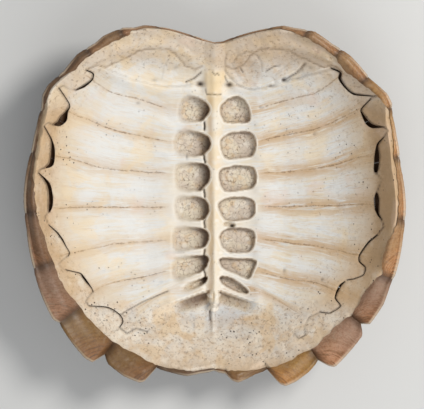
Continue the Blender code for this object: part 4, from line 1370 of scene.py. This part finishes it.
@dataclass
class RimHorn:
    """The marginal scutes and the nuchal scute, folded over the rim."""

    plan: Plan
    finish: bpy.types.Material
    gap: float = 0.45 * MM
    horn: float = 1.3 * MM
    front_horn: float = 0.6 * MM
    front: float = 24
    seam: float = 0.12
    rows_out: int = 22
    rows_fold: int = 5
    rows_in: int = 22
    columns: int = 32
    stride: float = 0.7
    ripple: float = 0.17 * MM
    # Darkness of each marginal scute: their own tones, with painted shade that makes the left side darker
    # than the right.
    tones: ClassVar[dict[str, tuple[float, ...]]] = {
        "left": (0.3, 0.35, 0.45, 0.65, 0.75, 0.75, 0.65, 0.5, 0.38, 0.5, 0.58, 0.8),
        "right": (0.2, 0.2, 0.2, 0.18, 0.12, 0.0, 0.0, 0.0, 0.25, 0.0, 0.1, 0.5),
    }
    tints: ClassVar[dict[str, tuple[float, ...]]] = {
        "left": (0.6, 0.6, 0.5, 0.5, 0.5, 0.4, 0.5, 0.7, 0.95, 0.0, 0.05, 0.2),
        "right": (0.5, 0.5, 0.5, 0.4, 0.2, 0.2, 0.35, 0.45, 0.95, 1.0, 0.0, 0.2),
    }

    def face(self, angle: Array, radius: Array, inside: bool) -> tuple[Array, ...]:
        """Height of one face of the bone and the way out of it.

        Args:
            angle: Angles, in degrees.
            radius: Distance from the middle.
            inside: Whether to take the inner face.

        Returns:
            The height, and the way out as its outward and upward parts.
        """
        level = self.plan.inside if inside else self.plan.outside
        near = np.minimum(radius, self.plan.bone_reach(angle) - self.stride)
        z, low, high = (level(*spot(angle, r)) for r in (radius, near, near + self.stride))
        slope = np.clip((high - low) / (self.stride * UNIT), -3, 3)
        steep = np.sqrt(1 + slope**2)
        sign = 1 if inside else -1
        return z, -sign * slope / steep, sign / steep

    def sweep(self, angle: Array, off: Array) -> Array:
        """Points of the folded sheet at one distance off the bone.

        Args:
            angle: Angles of the columns.
            off: Distance from the bone for each column, in metres.

        Returns:
            Points by row and column, from the dome's edge round the rim to the inner margin.
        """
        plan = self.plan
        far = plan.bone_reach(angle)
        seam = plan.around(plan.dome_reach, angle) * plan.scute_row + 0.1
        ragged = 1.1 * lattice(angle, angle * 0, 3.2, 71) + 0.6 * lattice(angle, angle * 0, 1.1, 72)
        inner = np.minimum(plan.margin(angle) + ragged * step(20, 30, np.abs(angle)), far - 1.0)
        radii, heights = [], []

        def row(radius: Array, inside: bool) -> None:
            """Adds a row of points off one face of the bone."""
            z, out, up = self.face(angle, radius, inside)
            radii.append(radius + out * off / UNIT)
            heights.append(z + up * off)

        for k in range(self.rows_out):
            row(seam + (far - seam) * k / self.rows_out, False)
        low, out_low, up_low = self.face(angle, far, False)
        high, out_high, up_high = self.face(angle, far, True)
        for k in range(self.rows_fold):
            share = k / (self.rows_fold - 1)
            out = out_low * (1 - share) + out_high * share + 0.8 * math.sin(math.pi * share)
            up = up_low * (1 - share) + up_high * share
            length = np.hypot(out, up)
            radii.append(far + out / length * off / UNIT)
            heights.append(low * (1 - share) + high * share + up / length * off)
        for k in range(1, self.rows_in + 1):
            row(far + (inner - far) * k / self.rows_in, True)
        radius, z = np.array(radii), np.array(heights)
        for grid in (radius, z):
            grid[1:-1] = (grid[:-2] + 2 * grid[1:-1] + grid[2:]) / 4
        return plan.placed(*spot(angle[None, :], radius), z)

    def plate(
        self, name: str, node: str, first: float, last: float, tone: float, tint: float
    ) -> bpy.types.Object:
        """One scute between two angles.

        Args:
            name: The object's name.
            node: The CAD node it stands for.
            first: Angle of the seam nearer the head.
            last: Angle of the seam nearer the tail.
            tone: How dark it is: its own tone, with painted shade on the left side included.
            tint: From 0 for amber to 1 for rosy brown.

        Returns:
            The object.
        """
        trim = math.degrees(self.seam / 190) * 0.5 * math.copysign(1, last - first)
        angle = np.linspace(first + trim, last - trim, self.columns + 1)
        rows = self.rows_out + self.rows_fold + self.rows_in
        across = np.linspace(0, 1, self.columns + 1)[None, :] + np.zeros((rows, 1))
        fold = self.rows_out + self.rows_fold / 2
        down = ((np.arange(rows) - fold) / self.rows_in)[:, None] + np.zeros_like(across)
        growth = np.hypot((1.02 - across) * 1.0, down * 0.42 - 0.05) + 0.12 * np.abs(down)
        wave = 1.4 * lattice(across * 5 + first, down * 3, 1, 73)
        strong = 0.5 + 0.5 * lattice(across * 4, down * 2 + last, 1, 75)
        ripple = self.ripple * np.sin(growth * 62 + wave) * strong
        border = np.minimum(np.minimum(across, 1 - across) * 12, np.minimum(1.1 + down, 1.01 - down) * 9)
        border = ease(np.clip(border, 0, 1))
        full = self.front_horn + (self.horn - self.front_horn) * step(14, self.front, np.abs(angle))
        thick = (full[None, :] * (0.5 + 0.5 * border) + ripple * border) / full[None, :]
        inner = self.sweep(angle, full * 0 + self.gap)
        outer = inner + (self.sweep(angle, self.gap + full) - inner) * thick[:, :, None]
        made = between(name, outer, inner)
        add_values(
            made,
            growth=both(growth * 10),
            ray=both(across * 6 + first),
            edge=both(bump(down - 0.02, 0.06) * (0.35 + 0.65 * step(0.1, 0.5, across)), 0.0),
            # Painted shade darkens the outer face of the rim away from its fold.
            tone=both(tone + 0.3 * step(-0.1, -0.6, down), 1.0),
            seamward=both(bump(across - 1, 0.08) + bump(across, 0.11)),
            tint=np.full(growth.size * 2, tint),
            tip=both(step(0.8, 0.15, growth)),
        )
        return settle(made, node, self.finish)

    def build(self) -> list[bpy.types.Object]:
        """Makes the nuchal scute and the twelve marginal scutes of each side."""
        made = [self.plate("nuchal_horn", "scute_nuchal", -7, 7, 0.25, 0.6)]
        for word, seams, sign in (("left", self.plan.seams_left, 1), ("right", self.plan.seams_right, -1)):
            for number, (a, b) in enumerate(zip(seams, seams[1:]), start=1):
                tone, tint = self.tones[word][number - 1], self.tints[word][number - 1]
                name, node = f"marginal_horn_{word}_{number}", f"scute_marginal_{word}_{number}"
                made.append(self.plate(name, node, sign * a, sign * b, tone, tint))
        return made


@dataclass
class DomeHorn:
    """The vertebral and pleural scutes over the outside of the dome."""

    plan: Plan
    finish: bpy.types.Material
    gap: float = 0.95 * MM
    horn: float = 1.3 * MM
    seam: float = 0.3
    cells: int = 36
    stride: float = 2.0
    ripple: float = 0.35 * MM
    tones: tuple[float, float] = (0.45, 0.5)
    keel: float = 5.2 * MM
    side_keel: float = 2.6 * MM
    keel_half: float = 20
    keel_pitch: float = 54
    keel_middle: float = 8
    vertebral_y: tuple[float, ...] = (150, 88, 35, -20, -74, -150)
    vertebral_half: float = 41
    pleural_y: tuple[float, ...] = (124, 62, 8, -46, -108)
    pleural_angles: tuple[float, ...] = (19, 61, 92, 122, 159)
    first_corner: float = 19
    last_corner: float = 159

    def ring(self, angle: Array) -> tuple[Array, Array]:
        """Plan points where the dome's scutes meet the marginal ones."""
        return spot(angle, self.plan.around(self.plan.dome_reach, angle) * self.plan.scute_row - 0.1)

    def half_at(self, y: Array) -> Array:
        """Half width of the vertebral scutes along the shell."""
        out = np.full_like(y, self.vertebral_half)
        rows = self.vertebral_y[1:5]
        for a, b in zip(rows, rows[1:]):
            share = (a - y) / (a - b)
            peak = self.vertebral_half + 7 * (1 - np.abs(2 * share - 1))
            out = np.where((share >= 0) & (share <= 1), peak, out)
        for at, corner in ((rows[0], self.first_corner), (rows[-1], self.last_corner)):
            x_ring, y_ring = self.ring(np.array([-corner]))
            line = self.vertebral_half + (x_ring - self.vertebral_half) * (y - at) / (y_ring - at)
            out = np.where((np.abs(y) > abs(at)) & (y * at > 0), line, out)
        return out

    def keel_height(self, x: Array, y: Array) -> Array:
        """Height of the three low keels."""
        wave = 0.62 + 0.38 * np.cos(2 * np.pi * (y - self.keel_middle) / self.keel_pitch)
        path = 82 - 10 * np.abs(y) / 100
        side = self.side_keel * wave * bump(np.abs(x) - path, 12)
        return self.keel * wave * np.exp(-((x / self.keel_half) ** 4)) + side

    def surface(self, x: Array, y: Array, off: Array | float, floor: bool) -> Array:
        """Points at one distance under the dome.

        Args:
            x: Plan position across.
            y: Plan position along.
            off: Distance off the bone, in metres.
            floor: Whether to hold the points above the level the shell rests on.

        Returns:
            The points in metres.
        """
        plan, near = self.plan, self.stride
        rise_x = (plan.outside(x + near, y) - plan.outside(x - near, y)) / (2 * near * UNIT)
        rise_y = (plan.outside(x, y + near) - plan.outside(x, y - near)) / (2 * near * UNIT)
        steep = np.sqrt(1 + rise_x**2 + rise_y**2)
        base = plan.placed(x, y, plan.outside(x, y))
        away = np.stack([rise_x, rise_y, -np.ones_like(rise_x)], axis=-1) / steep[..., None]
        points = base + away * (np.zeros_like(x) + off)[..., None]
        if floor:
            points[..., 2] = np.maximum(points[..., 2], 0.0)
        return points

    def plate(self, name: str, node: str, x: Array, y: Array, tone: float) -> bpy.types.Object:
        """One scute whose plan is given by a grid of positions.

        Args:
            name: The object's name.
            node: The CAD node it stands for.
            x: Plan positions across.
            y: Plan positions along.
            tone: How dark it is.

        Returns:
            The object.
        """
        count = self.cells + 1
        across = np.linspace(0, 1, count)[None, :] + np.zeros((count, 1))
        down = np.linspace(0, 1, count)[:, None] + np.zeros((1, count))
        centre = 0.5 if "vertebral" in node else 0.35
        growth = np.maximum(np.abs(across - centre) * 1.6, np.abs(down - 0.66) * 1.5)
        ray = np.arctan2(down - 0.66, across - centre)
        border = np.minimum(np.minimum(across, 1 - across), np.minimum(down, 1 - down)) * 16
        ripple = 0.22 * np.sin(growth * 44 + 1.5 * lattice(x, y, 16, 81))
        ripple += 0.3 * np.sin(ray * 34) * ease(growth * 2)
        thick = self.horn * (0.5 + 0.5 * ease(border)) + self.ripple * ripple * ease(border)
        thick += self.keel_height(x, y) * ease(border * 0.5 + 0.4)
        outer = self.surface(x, y, self.gap + thick, True)
        inner = self.surface(x, y, self.gap, False)
        made = between(name, outer, inner)
        add_values(
            made,
            growth=both(growth * 5),
            ray=both(ray * 6),
            edge=np.zeros(growth.size * 2),
            tone=np.repeat((tone, 1.0), growth.size),
            seamward=both(bump(border, 0.6)),
        )
        return settle(made, node, self.finish)

    def build(self) -> list[bpy.types.Object]:
        """Makes the five vertebral scutes and the four pleural scutes of each side."""
        count = self.cells + 1
        trim = self.seam / 60
        share = np.linspace(trim, 1 - trim, count)
        across, down = np.meshgrid(share, share)
        made = []
        for number in range(5):
            high, low = self.vertebral_y[number], self.vertebral_y[number + 1]
            side = 2 * across - 1
            y = high + (low - high) * down
            x = side * self.half_at(y)
            if number == 0:
                x_ring, y_ring = self.ring(-side * self.first_corner)
                x = x_ring + (side * self.vertebral_half - x_ring) * down
                y = y_ring + (low - y_ring) * down
            if number == 4:
                x_ring, y_ring = self.ring(180 + side * (180 - self.last_corner))
                x = side * self.vertebral_half + (x_ring - side * self.vertebral_half) * down
                y = high + (y_ring - high) * down
            name, node = f"vertebral_horn_{number + 1}", f"scute_vertebral_{number + 1}"
            made.append(self.plate(name, node, x, y, self.tones[0]))
        for sign, word in ((-1, "left"), (1, "right")):
            for number in range(4):
                high, low = self.pleural_y[number], self.pleural_y[number + 1]
                first, last = self.pleural_angles[number], self.pleural_angles[number + 1]
                y_in = high + (low - high) * down
                x_in = sign * self.half_at(y_in)
                x_out, y_out = self.ring(-sign * (first + (last - first) * down))
                x, y = x_in + (x_out - x_in) * across, y_in + (y_out - y_in) * across
                name, node = f"pleural_horn_{word}_{number + 1}", f"scute_pleural_{word}_{number + 1}"
                made.append(self.plate(name, node, x, y, self.tones[1]))
        return made


@dataclass
class Studio:
    """Plain pale floor, soft light and a camera straight above the bowl."""

    plan: Plan
    frame_width: float = 424
    sensor: float = 36
    centre: tuple[float, float] = (-2.0, 2.0)
    aim: Triple = (0.0, 0.0, 0.05)
    floor_half: float = 3.0
    floor_drop: float = 0.2 * MM
    key: tuple = ((0.8, 0.4, 1.25), 0.45, 14, (1.0, 0.99, 0.97))
    fill: tuple = ((0.15, -1.1, 1.3), 1.2, 7.4, (0.97, 0.985, 1.0))
    sky: Colour = (0.93, 0.96, 1.0, 1)
    sky_strength: float = 0.36

    def floor(self) -> bpy.types.Object:
        """A wide floor a hair under the shell."""
        work = bmesh.new()
        bmesh.ops.create_grid(work, x_segments=8, y_segments=8, size=self.floor_half)
        bmesh.ops.translate(work, verts=work.verts, vec=(0, 0, -self.floor_drop))
        made = new_object("floor", work)
        made.data.materials.append(FloorFinish().build())
        return made

    def lamp(self, name: str, at: Triple, size: float, power: float, tint: Triple) -> None:
        """An area lamp that faces the middle of the shell."""
        data = bpy.data.lights.new(name, "AREA")
        data.shape, data.size, data.energy, data.color = "DISK", size, power, tint
        lamp = bpy.data.objects.new(name, data)
        lamp.location = at
        lamp.rotation_euler = (Vector(self.aim) - Vector(at)).to_track_quat("-Z", "Y").to_euler()
        bpy.context.scene.collection.objects.link(lamp)

    def camera(self) -> None:
        """The camera, looking straight down with the head end at the top of the picture."""
        plan = self.plan
        data = bpy.data.cameras.new("camera")
        width = self.frame_width * UNIT
        data.sensor_width = self.sensor
        data.lens = self.sensor * (plan.sight - plan.rim_plane) / width
        data.clip_end = 20
        camera = bpy.data.objects.new("camera", data)
        x, y = self.centre[0] * UNIT + plan.shift[0], self.centre[1] * UNIT + plan.shift[1]
        camera.matrix_world = Matrix.Translation((x, y, plan.sight))
        bpy.context.scene.collection.objects.link(camera)
        bpy.context.scene.camera = camera

    def build(self) -> None:
        """Sets up the floor, the light and the camera."""
        self.floor()
        self.lamp("key", *self.key)
        self.lamp("fill", *self.fill)
        world = bpy.data.worlds.new("soft_room")
        world.use_nodes = True
        background = world.node_tree.nodes["Background"].inputs
        background["Color"].default_value = self.sky
        background["Strength"].default_value = self.sky_strength
        bpy.context.scene.world = world
        bpy.context.scene.view_settings.view_transform = "Standard"
        self.camera()


def main() -> None:
    """Loads the frame, builds every piece and reports it."""
    logging.basicConfig(level=logging.INFO, format="%(name)s: %(message)s")
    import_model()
    plan = Plan()
    made = [BonyShell(plan, Anatomy()).build()]
    made += RimHorn(plan, HornFinish(HornKind.RIM).build()).build()
    made += DomeHorn(plan, HornFinish(HornKind.DOME).build()).build()
    for piece in made:
        log.info("%s: %d faces", piece.name, len(piece.data.polygons))
    Studio(plan).build()


if __name__ == "__main__":
    main()
